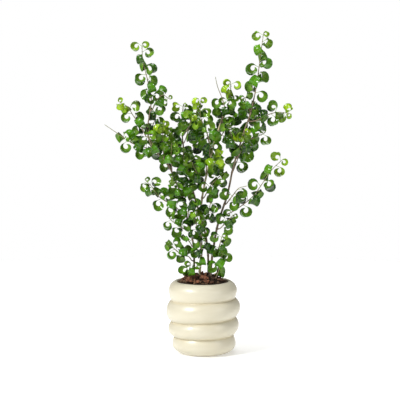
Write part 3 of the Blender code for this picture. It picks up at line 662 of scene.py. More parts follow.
def leaf_finish(plant):
    """Glossy above and dull below, deep green when old and yellow-green when new, with veins, and with a
    painted glow of light on the underside towards the midrib.
    """
    gloss = {"Coat Weight": 0.55, "Coat Roughness": 0.05, "Coat IOR": 1.45}
    made = Finish("fig_leaf", {"Specular IOR Level": 0.16, **gloss})
    youth, tint = made.mark("youth"), made.mark("tint")
    across = made.math("ABSOLUTE", made.mark("across"))
    along = made.mark("along")
    green = made.blend(made.between(tint, 0.2, 1.1), plant.leaf_old, plant.leaf_green)
    aged = made.blend(made.between(youth, 0.25, 0.95), green, plant.leaf_young)
    cloud = made.between(made.noise(160, 3), 0.35, 0.7, 0.0, 0.3)
    mottled = made.blend(cloud, aged, plant.leaf_green)
    slant = made.math("SUBTRACT", made.math("MULTIPLY", along, 13.0), made.math("MULTIPLY", across, 2.2))
    wave = made.math("ABSOLUTE", made.math("SINE", made.math("MULTIPLY", slant, math.pi)))
    side_veins = made.between(wave, 0.16, 0.0, 0.0, 0.22)
    midrib = made.between(across, 0.10, 0.02, 0.0, 0.8)
    veins = made.math("MAXIMUM", side_veins, midrib)
    veined = made.blend(made.math("MULTIPLY", veins, 0.42), mottled, plant.leaf_vein_and_glow)
    rim = made.blend(made.between(across, 0.82, 1.0, 0.0, 0.6), veined, plant.leaf_old)
    under = made.mark("under")
    # painted light: the underside is painted lighter towards the midrib, as a glow of light through the leaf
    glow = made.between(across, 0.75, 0.0, 0.0, 0.5)
    lower = made.blend(made.math("MAXIMUM", veins, glow), plant.leaf_under, plant.leaf_vein_and_glow)
    lower_aged = made.blend(made.between(youth, 0.2, 0.9, 0.0, 0.6), lower, plant.leaf_young)
    stalk = made.between(made.math("MULTIPLY", along, -1.0), 0.0, 0.08)
    blade = made.blend(under, rim, lower_aged)
    made.feed("Base Color", made.blend(stalk, blade, plant.leaf_vein_and_glow))
    upper = made.between(made.noise(240, 2), 0.3, 0.7, 0.26, 0.38)
    dull = made.add("Mix", {0: under, 2: upper, 3: 0.5}, data_type="FLOAT").outputs[0]
    made.feed("Roughness", dull)
    skin = made.relief(made.noise(420, 3), 0.00025, 0.5)
    made.feed("Normal", made.relief(veins, 0.00035, 0.7, skin))
    return made.material


# ---- the pot ----


def lathe(name, profile, steps):
    """A body of revolution: one point drawn out along a profile, then spun round the axis."""
    deselect()
    radius, height = profile[0]
    bpy.ops.mesh.primitive_plane_add(size=MM, location=(0, 0, 0))
    made = named(name)
    edit_all()
    bpy.ops.mesh.merge(type="CENTER")
    bpy.ops.transform.translate(value=(radius, 0, height))
    for (r_from, z_from), (r_to, z_to) in zip(profile, profile[1:]):
        step = {"value": (r_to - r_from, 0, z_to - z_from)}
        bpy.ops.mesh.extrude_region_move(TRANSFORM_OT_translate=step)
    bpy.ops.mesh.select_all(action="SELECT")
    bpy.ops.mesh.spin(steps=steps, angle=2 * math.pi, center=(0, 0, 0), axis=(0, 0, 1))
    bpy.ops.mesh.select_all(action="SELECT")
    weld(0.00002)
    return made


def ring_bounds(pot):
    """The heights of the grooves between the pot's rings, with the base and the rim."""
    heights = [0.0]
    for share in RING_SHARES:
        heights.append(heights[-1] + pot.height * share / sum(RING_SHARES))
    return heights


def outer_profile(pot):
    """(radius, height) up the outside: each ring bulges between two grooves."""
    bounds = ring_bounds(pot)
    lower = (pot.base_radius, *pot.groove_radii)
    upper = (*pot.groove_radii, pot.lip_radius)
    points = []
    for low, high, start, end, widest in zip(bounds, bounds[1:], lower, upper, pot.ring_radii):
        middle = (low + high) / 2
        for turn in range(-80, 81, 10):
            angle = math.radians(turn)
            edge = end if turn > 0 else start
            radius = edge + (widest - edge) * math.cos(angle) ** RING_BULGE
            points.append((radius, middle + (high - low) / 2 * math.sin(angle)))
    return points


def lip_profile(pot):
    """(radius, height) over the rounded lip into the mouth."""
    middle = (pot.lip_radius + pot.mouth_radius) / 2
    half = (pot.lip_radius - pot.mouth_radius) / 2
    turns = [math.radians(turn) for turn in (85, 60, 35, 10, -15, -40, -65, -85)]
    return [(middle + half * math.sin(a), pot.height - half * (1 - math.cos(a))) for a in turns]


def inner_profile(pot):
    """(radius, height) down the inside, from the mouth to the floor."""
    bounds = ring_bounds(pot)
    points = [(pot.mouth_radius, bounds[-1] - pot.wall / 2)]
    for groove, height in zip(reversed(pot.groove_radii), reversed(bounds[1:-1])):
        points.append((groove - pot.wall, height))
    points.append((pot.base_radius - pot.wall, pot.floor))
    return points


def shift(pot, point):
    """The lean and the slight tilt of the hand-built rings."""
    share = min(max(point.z / pot.height, 0.0), 1.0)
    rise = pot.tilt * math.sin(math.pi * share) ** 2 * point.x
    return Vector((point.x - pot.lean * share, point.y, point.z + rise))


def groove_shares(pot, mesh):
    """For each point of the pot, how near it is to the bottom of a groove, from 0 to 1, which sets where
    shade is painted into the glaze.
    """
    bounds = ring_bounds(pot)
    found = []
    for vert in mesh.vertices:
        near = min(abs(vert.co.z - bound) for bound in bounds[:-1])
        found.append(max(0.0, 1 - near / (pot.height / 24)))
    return found


class FIG_OT_pot(bpy.types.Operator):
    """Spin the ringed pot, with its hollow, its rounded lip and its hand-built unevenness"""

    bl_idname = "fig.pot"
    bl_label = "Pot"

    def execute(self, context):
        pot, _, _ = settings()
        profile = [(0.0, 0.0), (pot.base_radius * 0.7, 0.0006), (pot.base_radius * 0.94, 0.0)]
        profile += [*outer_profile(pot), *lip_profile(pot), *inner_profile(pot), (0.0, pot.floor)]
        piece = lathe("ringed_pot", profile, pot.segments)
        # the groove share places the painted shade in the grooves
        mark(piece.data, "groove", groove_shares(pot, piece.data))
        place(piece, lambda point: shift(pot, point))
        displace(piece, "thumbed_clay", 0.0011, 0.03)
        shade(piece, 80)
        on_frame(piece, ceramic_finish(pot), "pot_ceramic", "pot")
        return {"FINISHED"}


# ---- soil and bark ----


def dome_height(share):
    """The soil's height at this share of the mouth's radius."""
    pot, soil, _ = settings()
    return pot.height - soil.depth_below_rim + soil.dome * (1 - share**2)


def soil_height(x, y):
    """The height of the soil's solid, which is straight between its profile's corners."""
    pot, _, _ = settings()
    share = min(math.hypot(x + pot.lean, y) / pot.mouth_radius, 1.0)
    corners = (1.0, *DOME_SHARES)
    for outer, inner in zip(corners, corners[1:]):
        if share >= inner:
            part = (outer - share) / (outer - inner)
            return dome_height(outer) + (dome_height(inner) - dome_height(outer)) * part
    return dome_height(0.0)


def inside_radius(pot, height):
    """The radius of the pot's inner wall at this height."""
    wall = inner_profile(pot)
    for (r_high, high), (r_low, low) in zip(wall, wall[1:]):
        if height >= low:
            share = min((height - low) / (high - low), 1.0)
            return r_low + (r_high - r_low) * share
    return wall[-1][0]


def surface_of(piece):
    """A search tree over a piece's faces, for laying things on it."""
    bpy.context.view_layer.update()
    return BVHTree.FromObject(piece, bpy.context.evaluated_depsgraph_get())


def make_soil(pot, soil):
    """Soil that fills the pot, domed and lumpy on top."""
    edge = pot.height - soil.depth_below_rim
    base = pot.floor + GAP
    walls = sorted(height for _, height in inner_profile(pot) if base < height < edge)
    profile = [(0.0, base)]
    profile += [(inside_radius(pot, z) - 2 * GAP, z) for z in (base, *walls, edge - 0.004, edge)]
    for k in range(1, SOIL_STEPS + 1):
        share = 1 - k / SOIL_STEPS
        profile.append((pot.mouth_radius * share, dome_height(share) + soil.heap * (1 - share**2) ** 1.5))
    piece = lathe("soil_mound", profile, 120)
    place(piece, lambda point: shift(pot, point))
    top = piece.vertex_groups.new(name="top")
    for vert in piece.data.vertices:
        reach = math.hypot(vert.co.x + pot.lean, vert.co.y) / pot.mouth_radius
        if vert.co.z > edge - 0.001 and reach < LUMPY_REACH:
            top.add([vert.index], min(1.0, (LUMPY_REACH - reach) * 9), "REPLACE")
    displace(piece, "soil_lumps", soil.roughness, 0.009, "top", 0.36)
    displace(piece, "soil_grains", soil.roughness * 0.4, 0.0028, "top")
    piece.vertex_groups.clear()
    shade(piece, 40)
    return piece


def model_crumb():
    """One crumb: a small ball with its sides broken off, about 1 m across for scaling."""
    deselect()
    bpy.ops.mesh.primitive_ico_sphere_add(subdivisions=1, radius=0.5, location=(0, 0, 0))
    made = named("crumb")
    edit_all()
    bpy.ops.transform.vertex_random(offset=0.16, seed=4)
    bpy.ops.transform.resize(value=(1.15, 0.85, 0.7), center_override=(0, 0, 0))
    bpy.ops.object.mode_set(mode="OBJECT")
    return made


def strewn(chance, reach):
    """A random place on the soil, within this share of the mouth's radius."""
    pot, _, _ = settings()
    far = pot.mouth_radius * reach * math.sqrt(chance.random())
    turn = chance.uniform(0, 2 * math.pi)
    return far * math.cos(turn) - pot.lean, far * math.sin(turn)


def lay_on(ground, x, y, turn, size, sink):
    """The matrix that lays a model, turned and scaled, on the soil's surface at this place."""
    hit, normal, *_ = ground.ray_cast(Vector((x, y, SKY_HEIGHT)), DOWN)
    tilt = Vector((0, 0, 1)).rotation_difference(normal).to_matrix().to_4x4()
    at = Matrix.Translation(hit + normal * sink)
    return at @ tilt @ turn @ Matrix.Diagonal((*size, 1.0))


def make_crumbs(soil, ground):
    """Loose crumbs all over the soil, mostly fine ones."""
    model = model_crumb()
    chance = random.Random(11)
    crumbs = []
    for number in range(soil.crumbs):
        x, y = strewn(chance, CRUMB_SHARE)
        across = CRUMB_FINE + CRUMB_SPAN * chance.random() ** 4
        size = [across * chance.uniform(0.75, 1.3) for _ in range(3)]
        turn = Matrix.Rotation(chance.uniform(0, 6.28), 4, (chance.random(), chance.random(), 1))
        crumb = copied(model, f"crumb_{number}")
        crumb.data.transform(lay_on(ground, x, y, turn, size, across * 0.25))
        dry = chance.random() * (0.55 if x > 0 else 1.0)
        mark(crumb.data, "tint", [dry] * len(crumb.data.vertices))
        crumbs.append(crumb)
    discard(model)
    return joined(crumbs, "soil_crumbs")


class FIG_OT_soil(bpy.types.Operator):
    """Fill the pot with lumpy soil and strew loose crumbs on it"""

    bl_idname = "fig.soil"
    bl_label = "Soil"

    def execute(self, context):
        pot, soil, _ = settings()
        mound = make_soil(pot, soil)
        crumbs = make_crumbs(soil, surface_of(mound))
        on_frame(mound, soil_finish(soil), "soil", "soil")
        on_frame(crumbs, crumb_finish(soil), "soil")
        return {"FINISHED"}


def model_chip():
    """One flake of bark, 1 m long for scaling: a slab with ragged ends and torn, bevelled edges."""
    deselect()
    bpy.ops.mesh.primitive_cube_add(size=1.0, location=(0, 0, 0))
    made = named("chip")
    edit_all()
    bpy.ops.transform.resize(value=(1.0, 0.60, 0.26), center_override=(0, 0, 0))
    bpy.ops.mesh.subdivide(number_cuts=2)
    select_where(lambda co: co.x > 0.45)
    bpy.ops.transform.resize(value=(1.0, 0.62, 0.55), center_override=(0.5, 0.05, -0.05))
    select_where(lambda co: co.x < -0.45)
    bpy.ops.transform.resize(value=(1.0, 0.85, 0.75), center_override=(-0.5, -0.04, 0))
    select_where(lambda co: co.x > 0.45 and co.y > 0)
    bpy.ops.transform.translate(value=(0.10, 0, 0))
    select_where(lambda co: co.x < -0.45 and co.y < 0)
    bpy.ops.transform.translate(value=(-0.08, 0, 0))
    bpy.ops.mesh.select_all(action="SELECT")
    bpy.ops.transform.vertex_random(offset=0.045, seed=7)
    bpy.ops.object.mode_set(mode="OBJECT")
    for name, axis in (("along", 0), ("across", 1)):
        mark(made.data, name, [vert.co[axis] for vert in made.data.vertices])
    return made


def finish_chip(piece, tint, scale):
    """Bevels a placed chip and writes its colour on it; the run of its fibres is already written on the model
    that it is copied from.
    """
    modify(piece, "BEVEL", width=0.0005 * scale, segments=1, limit_method="ANGLE")
    mark(piece.data, "tint", [tint] * len(piece.data.vertices))
    shade(piece, 32)


def is_bare(x, y):
    """Whether a place lies on the side of the soil where dark crumbs show, and little bark."""
    pot, _, _ = settings()
    right, back = BARE_SIDE
    return x > right * pot.mouth_radius and y < back * pot.mouth_radius


def make_chips(soil, ground):
    """The large bark chips, each in the place of its solid, and the small flakes between them."""
    pot, _, _ = settings()
    model = model_chip()
    chips = []
    for number, (x, y, heading, tilt, size) in enumerate(CHIPS, 1):
        low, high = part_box(f"bark_chip_{number:02d}")
        middle = (low + high) / 2
        hit, *_ = ground.ray_cast(Vector((middle.x, middle.y, SKY_HEIGHT)), DOWN)
        middle.z += max(0.0, hit.z - soil_height(middle.x, middle.y)) + CHIP_RISE
        across = soil.chip_length * size
        chip = copied(model, f"bark_chip_{number:02d}_split")
        turn = Matrix.Rotation(math.radians(heading), 4, "Z") @ Matrix.Rotation(math.radians(tilt), 4, "Y")
        chip.data.transform(Matrix.Translation(middle) @ turn @ Matrix.Scale(across * CHIP_SPREAD, 4))
        dark = is_bare(x * pot.mouth_radius, y * pot.mouth_radius)
        finish_chip(chip, 1.0 if dark else number * 0.37 % 0.5, size)
        chips.append(chip)
    chance = random.Random(23)
    flakes = []
    for number in range(soil.flakes):
        x, y = strewn(chance, BARK_SHARE)
        while is_bare(x, y):
            x, y = strewn(chance, BARK_SHARE)
        across = soil.chip_length * chance.uniform(0.35, 0.95)
        size = (across, across * chance.uniform(0.5, 1.1), across * chance.uniform(0.6, 1.2))
        turn = Matrix.Rotation(chance.uniform(0, 6.28), 4, "Z")
        turn @= Matrix.Rotation(chance.uniform(-1.3, 1.3), 4, "Y")
        flake = copied(model, f"flake_{number}")
        flake.data.transform(lay_on(ground, x, y, turn, size, across * 0.22))
        finish_chip(flake, chance.random(), 0.6)
        flakes.append(flake)
    discard(model)
    return chips, joined(flakes, "bark_flakes")


class FIG_OT_bark(bpy.types.Operator):
    """Lay the bark chips and the small flakes on the soil"""

    bl_idname = "fig.bark"
    bl_label = "Bark"

    def execute(self, context):
        _, soil, _ = settings()
        ground = surface_of(bpy.data.objects["soil_mound"])
        chips, flakes = make_chips(soil, ground)
        finish = bark_finish(soil)
        for number, chip in enumerate(chips, 1):
            on_frame(chip, finish, "bark", f"bark_chip_{number:02d}")
        on_frame(flakes, finish, "bark")
        return {"FINISHED"}


# ---- the plant's lines, as its solid model lays them out ----


def grown(point):
    """A drawn point (x, y, height, in mm) at the plant's real size and place.

    A point at height 0 is where something is planted, and keeps its place in the pot's mouth.
    """
    pot, soil, plant = settings()
    real = (plant.crown_width, plant.crown_depth, plant.crown_height)
    x, y, z = (value * size / drawn for value, size, drawn in zip(point, real, DRAWN_CROWN))
    if point[2] == 0:
        x, y = (value * pot.mouth_radius / DRAWN_MOUTH for value in point[:2])
    return Vector((x - pot.lean, y, z + pot.height - soil.depth_below_rim))


def between(a, b, start, end, now):
    return a.lerp(b, (now - start) / (end - start))


def smooth(points, steps=4):
    """Points along a smooth curve through these ones, with no loops where they are uneven."""
    ends = [2 * points[0] - points[1], *points, 2 * points[-1] - points[-2]]
    knots = [0.0]
    for a, b in zip(ends, ends[1:]):
        knots.append(knots[-1] + math.sqrt((b - a).length))
    curve = []
    for k in range(1, len(ends) - 2):
        p, t = ends[k - 1 : k + 3], knots[k - 1 : k + 3]
        for step in range(steps):
            now = t[1] + (t[2] - t[1]) * step / steps
            first = [between(p[i], p[i + 1], t[i], t[i + 1], now) for i in range(3)]
            second = [between(first[i], first[i + 1], t[i], t[i + 2], now) for i in range(2)]
            curve.append(between(*second, t[1], t[2], now))
    return [*curve, points[-1]]


class Path:
    """A line of points that is read by its length."""

    def __init__(self, points):
        self.points = points
        self.along = [0.0]
        for a, b in zip(self.points, self.points[1:]):
            self.along.append(self.along[-1] + (b - a).length)
        self.length = self.along[-1]

    def at(self, distance):
        """The point and the direction at this distance from the start."""
        distance = min(max(distance, 0.0), self.length)
        k = 0
        while k < len(self.along) - 2 and self.along[k + 1] < distance:
            k += 1
        a, b = self.points[k], self.points[k + 1]
        share = (distance - self.along[k]) / (self.along[k + 1] - self.along[k])
        return a.lerp(b, share), (b - a).normalized()

    def height(self, height):
        """The distance from the start at which the curve first reaches this height."""
        for k, (a, b) in enumerate(zip(self.points, self.points[1:])):
            if b.z >= height:
                share = (height - a.z) / (b.z - a.z)
                return self.along[k] + share * (self.along[k + 1] - self.along[k])
        return self.length

    def nearest(self, point):
        """The distance from the start of the place on the line that is nearest to a point."""
        best = (math.inf, 0.0)
        for start, a, b in zip(self.along, self.points, self.points[1:]):
            way = b - a
            share = min(max((point - a).dot(way) / way.length_squared, 0.0), 1.0)
            best = min(best, ((point - a - way * share).length, start + way.length * share))
        return best[1]


def directions(points):
    """The way a line of points runs at each of them."""
    last = len(points) - 1
    return [(points[min(k + 1, last)] - points[max(k - 1, 0)]).normalized() for k in range(last + 1)]


def frames(ways):
    """Each direction with two axes square to it, which turn as little as they can."""
    found = []
    side = Vector((1, 0, 0))
    for ahead in ways:
        side = (side - ahead * side.dot(ahead)).normalized()
        found.append((ahead, side, ahead.cross(side)))
    return found


def ring(mesh, centre, axes, radius):
    """One section of a rough rod."""
    _, side, up = axes
    turns = [2 * math.pi * (k + 0.5) / TUBE_SIDES for k in range(TUBE_SIDES)]
    return [mesh.verts.new(centre + (side * math.cos(a) + up * math.sin(a)) * radius) for a in turns]


def tube(points, radii):
    """A closed rough rod through these points."""
    mesh = bmesh.new()
    axes = frames(directions(points))
    rings = [ring(mesh, p, f, r) for p, f, r in zip(points, axes, radii)]
    for below, above in zip(rings, rings[1:]):
        for k in range(TUBE_SIDES):
            mesh.faces.new([below[k], below[k - 1], above[k - 1], above[k]][::-1])
    mesh.faces.new(rings[0][::-1])
    mesh.faces.new(rings[-1])
    return mesh


def stem_path(drawn):
    """A stem's middle line, in straight stretches of one length."""
    curve = Path(smooth([grown(point) for point in drawn]))
    count = len(drawn) + STEM_EXTRA
    return Path([curve.at(curve.length * k / count)[0] for k in range(count + 1)])


def stem_radius(name, share):
    foot, top, _ = STEMS[name]
    return (foot + (top - foot) * share) * MM


def shoot_path(name, stems):
    """The smooth curve of a shoot's twig, from just clear of its stem."""
    parent, height, drawn, *_ = SHOOTS[name]
    through = [grown(point) for point in drawn]
    if parent is None:
        through[0].z = soil_height(through[0].x, through[0].y) + 2 * GAP
        return Path(smooth(through))
    stem = stems[parent]
    if height is None:
        tip, ahead = stem.at(stem.length)
        start = tip + ahead * GAP
        return Path(smooth([start, start + ahead * 2 * settings()[2].twig_radius, *through]))
    distance = stem.height(grown((0, 0, height)).z)
    root, ahead = stem.at(distance)
    out = through[0] - root
    out = (out - ahead * out.dot(ahead)).normalized()
    clear = stem_radius(parent, distance / stem.length) + GAP
    start = root + out * clear
    return Path(smooth([start, start + out * 2 * settings()[2].twig_radius, *through]))


def curl_line(size, turn, steps):
    """The points of a curled leaf's midrib, and the way up at each."""
    points, ups = [Vector((0, 0, 0))], [Vector((0, 0, 1))]
    bend = turn / steps
    for k in range(steps):
        angle = (k + 0.5) * bend
        radius = size / 2 * (1.0 - LEAF_TIGHTENING * k / steps)
        step = 2 * radius * math.sin(bend / 2)
        points.append(points[-1] + Vector((0, math.cos(angle), -math.sin(angle))) * step)
        ups.append(Vector((0, math.sin((k + 1) * bend), math.cos((k + 1) * bend))))
    return points, ups


def leaf_sections(size, turn, width, thick):
    """The sections of a curled leaf, each its right edge, underside, left edge and upper side.

    The leaf starts at its own origin and runs along +Y with its glossy side up. It is folded
    upwards along its midrib, and curls down and back on itself round X, tighter to the tip.
    """
    found = []
    points, ups = curl_line(size, turn, len(LEAF_WIDTHS))
    for centre, up, share in zip(points, ups, LEAF_WIDTHS):
        half = width / 2 * share
        side = Vector((half * math.cos(LEAF_FOLD), 0, 0))
        raised = centre + up * half * math.sin(LEAF_FOLD)
        rib = up * thick / 2
        found.append((raised + side, centre - rib, raised - side, centre + rib))
    return found, points[-1]


def stood(along, ahead, roll, start):
    """The matrix of a leaf that starts here and runs along one way, off a twig that runs another."""
    across = Matrix.Rotation(roll, 3, along) @ along.cross(ahead).normalized()
    stand = Matrix((across, along, across.cross(along))).transposed().to_4x4()
    stand.translation = start
    return stand


def leaf_stand(twig, distance, around, lift, roll):
    """How a leaf's blade stands on its twig, and the way out from the twig there."""
    point, ahead = twig.at(distance)
    side = Vector((1, 0, 0)) if abs(ahead.x) < 0.8 else Vector((0, 0, 1))
    side = (side - ahead * side.dot(ahead)).normalized()
    out = (side * math.cos(around) + ahead.cross(side) * math.sin(around)).normalized()
    along = ahead * math.cos(lift) + out * math.sin(lift)
    _, _, plant = settings()
    return stood(along, ahead, roll, point + out * plant.twig_radius + along * plant.petiole), out


def leaf_solid(stand, rings, tip):
    """A closed leaf without its stalk, for finding room for it."""
    mesh = bmesh.new()
    built = [[mesh.verts.new(stand @ corner) for corner in section] for section in rings]
    grow_between(mesh, built, stand @ tip)
    mesh.faces.new(built[0][::-1])
    return taken(mesh)


def taken(mesh):
    """The space that a closed mesh takes up: its faces, its middle and its reach."""
    tree = BVHTree.FromBMesh(mesh)
    points = [vert.co.copy() for vert in mesh.verts]
    mesh.free()
    middle = sum(points, Vector()) / len(points)
    reach = max((point - middle).length for point in points)
    return tree, middle, reach


def grow_between(mesh, sections, tip):
    """Side faces from section to section of four corners, closed at the tip."""
    for below, above in zip(sections, sections[1:]):
        for k in range(4):
            mesh.faces.new([below[k - 1], below[k], above[k], above[k - 1]])
    end = mesh.verts.new(tip)
    for k in range(4):
        mesh.faces.new([sections[-1][k - 1], sections[-1][k], end])


class Room:
    """What has been placed so far, for keeping new leaves clear of it."""

    def __init__(self):
        self.things = []

    def add_tube(self, owner, points, radii):
        for a, b, r in zip(points, points[1:], radii):
            self.things.append((owner, *taken(tube([a, b], [r + CLEARANCE] * 2))))

    def free(self, solid, owner=None):
        """Whether a solid is clear of everything, but for the owner's own twig if that is given."""
        tree, middle, reach = solid
        for whose, other, centre, size in self.things:
            if whose == owner and owner:
                continue
            if (centre - middle).length < reach + size and tree.overlap(other):
                return False
        return True


def above_pot(solid):
    """Whether a solid stays above the pot's rim and the bark."""
    _, middle, reach = solid
    return middle.z - reach > settings()[0].height + CHIP_REACH / 3


def choose_leaves(name, twig, room):
    """For each leaf of a shoot, the first way of standing that is clear of everything placed."""
    _, _, plant = settings()
    _, _, _, count, size, foot, tip = SHOOTS[name]
    chance = random.Random(name)
    placed = []
    for number in range(count):
        share = foot + (1 - foot - tip) * (number + 0.5) / count
        young = YOUNG_SMALLER * max(0.0, share - YOUNG_FROM)
        turn = math.radians(chance.uniform(*LEAF_TURN))
        lift = math.radians(chance.uniform(*LEAF_LIFT))
        around = math.radians(LEAF_TWIST * number + chance.uniform(-LEAF_STRAY, LEAF_STRAY))
        roll = math.radians(chance.uniform(-LEAF_ROLL, LEAF_ROLL))
        wide = chance.uniform(*LEAF_BREADTHS)
        for attempt in range(SWINGS * SHRINKS):
            swing = math.radians(SWING * ((attempt + 1) // 2) * (-1) ** attempt)
            grown_size = size * (1 - SHRINK * (attempt // SWINGS)) * (1 - young)
            curl = plant.leaf_curl * grown_size
            width = plant.leaf_width * grown_size * wide
            stand, out = leaf_stand(twig, share * twig.length, around + swing, lift, roll)
            rings, end = leaf_sections(curl, turn, width + CLEARANCE, SOLID_LEAF_THICKNESS + CLEARANCE)
            solid = leaf_solid(stand, rings, end)
            stalk = taken(tube([twig.at(share * twig.length)[0], stand.translation], [MM, MM]))
            if room.free(solid) and room.free(stalk, name) and above_pot(solid):
                room.things.append((None, *solid))
                room.things.append((name, *stalk))
                placed.append((share * twig.length, stand, out, curl, turn, width))
                break
    return placed


@functools.cache
def laid_out():
    """The stems' and twigs' lines, and every shoot's leaves, each clear of all the others."""
    stems = {name: stem_path(drawn) for name, (_, _, drawn) in STEMS.items()}
    room = Room()
    for name, path in stems.items():
        room.add_tube(name, path.points, [stem_radius(name, a / path.length) for a in path.along])
    twigs = {name: shoot_path(name, stems) for name in SHOOTS}
    for name, twig in twigs.items():
        room.add_tube(name, twig.points, [settings()[2].twig_radius] * len(twig.points))
    leaves = {name: choose_leaves(name, twig, room) for name, twig in twigs.items()}
    return stems, twigs, leaves


# ---- stems and twigs ----


def draw_tube(name, points, radii, youth, sides):
    """A round rod along a line, drawn as a curve with a round section and made a mesh."""
    deselect()
    line = bpy.data.curves.new(name, "CURVE")
    line.dimensions = "3D"
    line.bevel_depth = 1.0
    line.bevel_resolution = sides // 4 - 1
    line.use_fill_caps = True
    spline = line.splines.new("POLY")
    spline.points.add(len(points) - 1)
    for drawn, point, radius in zip(spline.points, points, radii):
        drawn.co = (*point, 1.0)
        drawn.radius = radius
    rod = bpy.data.objects.new(name, line)
    bpy.context.scene.collection.objects.link(rod)
    take(rod)
    bpy.ops.object.convert(target="MESH")
    made = named(name)
    tree = Path(list(points))
    shares = [tree.nearest(vert.co) / tree.length for vert in made.data.vertices]
    mark(made.data, "youth", [youth[0] + (youth[1] - youth[0]) * share for share in shares])
    edit_all()
    weld(0.000001)
    shade(made, 60)
    return made


def with_joints(path, radius_at, joints, swell, step):
    """Points and radii along a path, swollen a little where something grows from it."""
    count = max(2, math.ceil(path.length / step))
    stops = {path.length * k / count for k in range(count + 1)}
    beside = (joint + offset for joint in joints for offset in JOINT_STOPS)
    stops |= {min(max(stop, 0.0), path.length) for stop in beside}
    kept = [0.0]
    for stop in sorted(stops):
        if stop - kept[-1] > CLOSEST_STOPS:
            kept.append(stop)
    radii = []
    for stop in kept:
        near = min((abs(stop - joint) for joint in joints), default=1.0)
        radii.append(radius_at(stop / path.length) * (1 + swell * max(0.0, 1 - near / JOINT_REACH)))
    return [path.at(stop)[0] for stop in kept], radii


def make_stem(name, path, twigs):
    """A stem that tapers upwards, with a foot in the soil and a swelling at every branch."""
    joints = []
    for shoot, twig in twigs.items():
        parent, height, *_ = SHOOTS[shoot]
        if parent == name and height:
            joints.append(path.height(grown((0, 0, height)).z))
    curve = Path(smooth(path.points, 3))
    joints = [joint * curve.length / path.length for joint in joints]
    points, radii = with_joints(curve, lambda share: stem_radius(name, share), joints, 0.28, 0.004)
    points = [*(points[0] - Vector((0, 0, deep)) for deep, _ in STEM_FOOT), *points]
    radii = [*(radii[0] * wide for _, wide in STEM_FOOT), *radii]
    youth = (0.0, 0.35) if name != "stem_green" else (0.2, 0.7)
    piece = draw_tube(name + "_bark", points, radii, youth, 16)
    displace(piece, name + "_ribs", 0.0007, 0.007)
    shade(piece, 60)
    return piece


class FIG_OT_stems(bpy.types.Operator):
    """Grow the four woody stems, with a swelling where each twig leaves them"""

    bl_idname = "fig.stems"
    bl_label = "Stems"

    def execute(self, context):
        _, _, plant = settings()
        stems, twigs, _ = laid_out()
        grey = stem_finish("grey_bark", plant.grey_bark, plant)
        pale = stem_finish("pale_bark", plant.pale_bark, plant)
        for name, path in stems.items():
            piece = make_stem(name, path, twigs)
            if name == "stem_pale":
                on_frame(piece, pale, "pale_stem", name)
            else:
                on_frame(piece, grey, "woody_stem", name)
        return {"FINISHED"}


def ends_in_leaf(name, leaves):
    """Whether a shoot ends in a leaf, and not in a bare twig with a bud."""
    return bool(leaves) and SHOOTS[name][6] < BARE_TIP


def make_twig(name, twig, leaves, stems):
    """A twig from inside its stem to its pointed bud, knobbly where each leaf grows."""
    _, _, plant = settings()
    parent = SHOOTS[name][0]
    curve = Path(smooth(twig.points, 2))
    joints = [leaf[0] * curve.length / twig.length for leaf in leaves]

    def radius(share):
        return plant.twig_radius * (1 - TWIG_TAPER * share)

    if ends_in_leaf(name, leaves):
        end = joints[-1] + 1.5 * plant.twig_radius
        kept = [point for point, along in zip(curve.points, curve.along) if along < end - MM]
        curve = Path([*kept, curve.at(end)[0]])
    points, radii = with_joints(curve, radius, joints, 0.4, 0.005)
    start, ahead = curve.at(0.0)
    if parent:
        near = stems[parent].nearest(start)
        heart = stems[parent].at(near)[0]
        flare = [start.lerp(heart, 0.6), start]
        points = [*flare, *points[1:]]
        radii = [radii[0] * 1.7, radii[0] * 1.35, *radii[1:]]
    else:
        points = [start - ahead * 0.008, *points]
        radii = [radii[0] * 1.2, *radii]
    tip, way = curve.at(curve.length)
    bud = plant.twig_radius
    points += [tip + way * bud * past for past, _ in BUD]
    radii += [radii[-1] * wide for _, wide in BUD]
    young = YOUNG_SHOOTS.get(name, PLAIN_YOUTH)
    return draw_tube(name + "_twig", points, radii, (0.25, 0.75 + 0.25 * young), 8)


class FIG_OT_twigs(bpy.types.Operator):
    """Grow the leafy shoots' twigs, joined into one piece for each stem that they grow from"""

    bl_idname = "fig.twigs"
    bl_label = "Twigs"

    def execute(self, context):
        _, _, plant = settings()
        stems, twigs, leaves = laid_out()
        finish = stem_finish("twig_bark", plant.grey_bark, plant)
        for parent in (*STEMS, None):
            shoots = [name for name in SHOOTS if SHOOTS[name][0] == parent]
            rods = [make_twig(name, twigs[name], leaves[name], stems) for name in shoots]
            piece = joined(rods, f"{parent or 'soil'}_twigs")
            on_frame(piece, finish, "woody_stem")
        return {"FINISHED"}


# ---- leaves ----


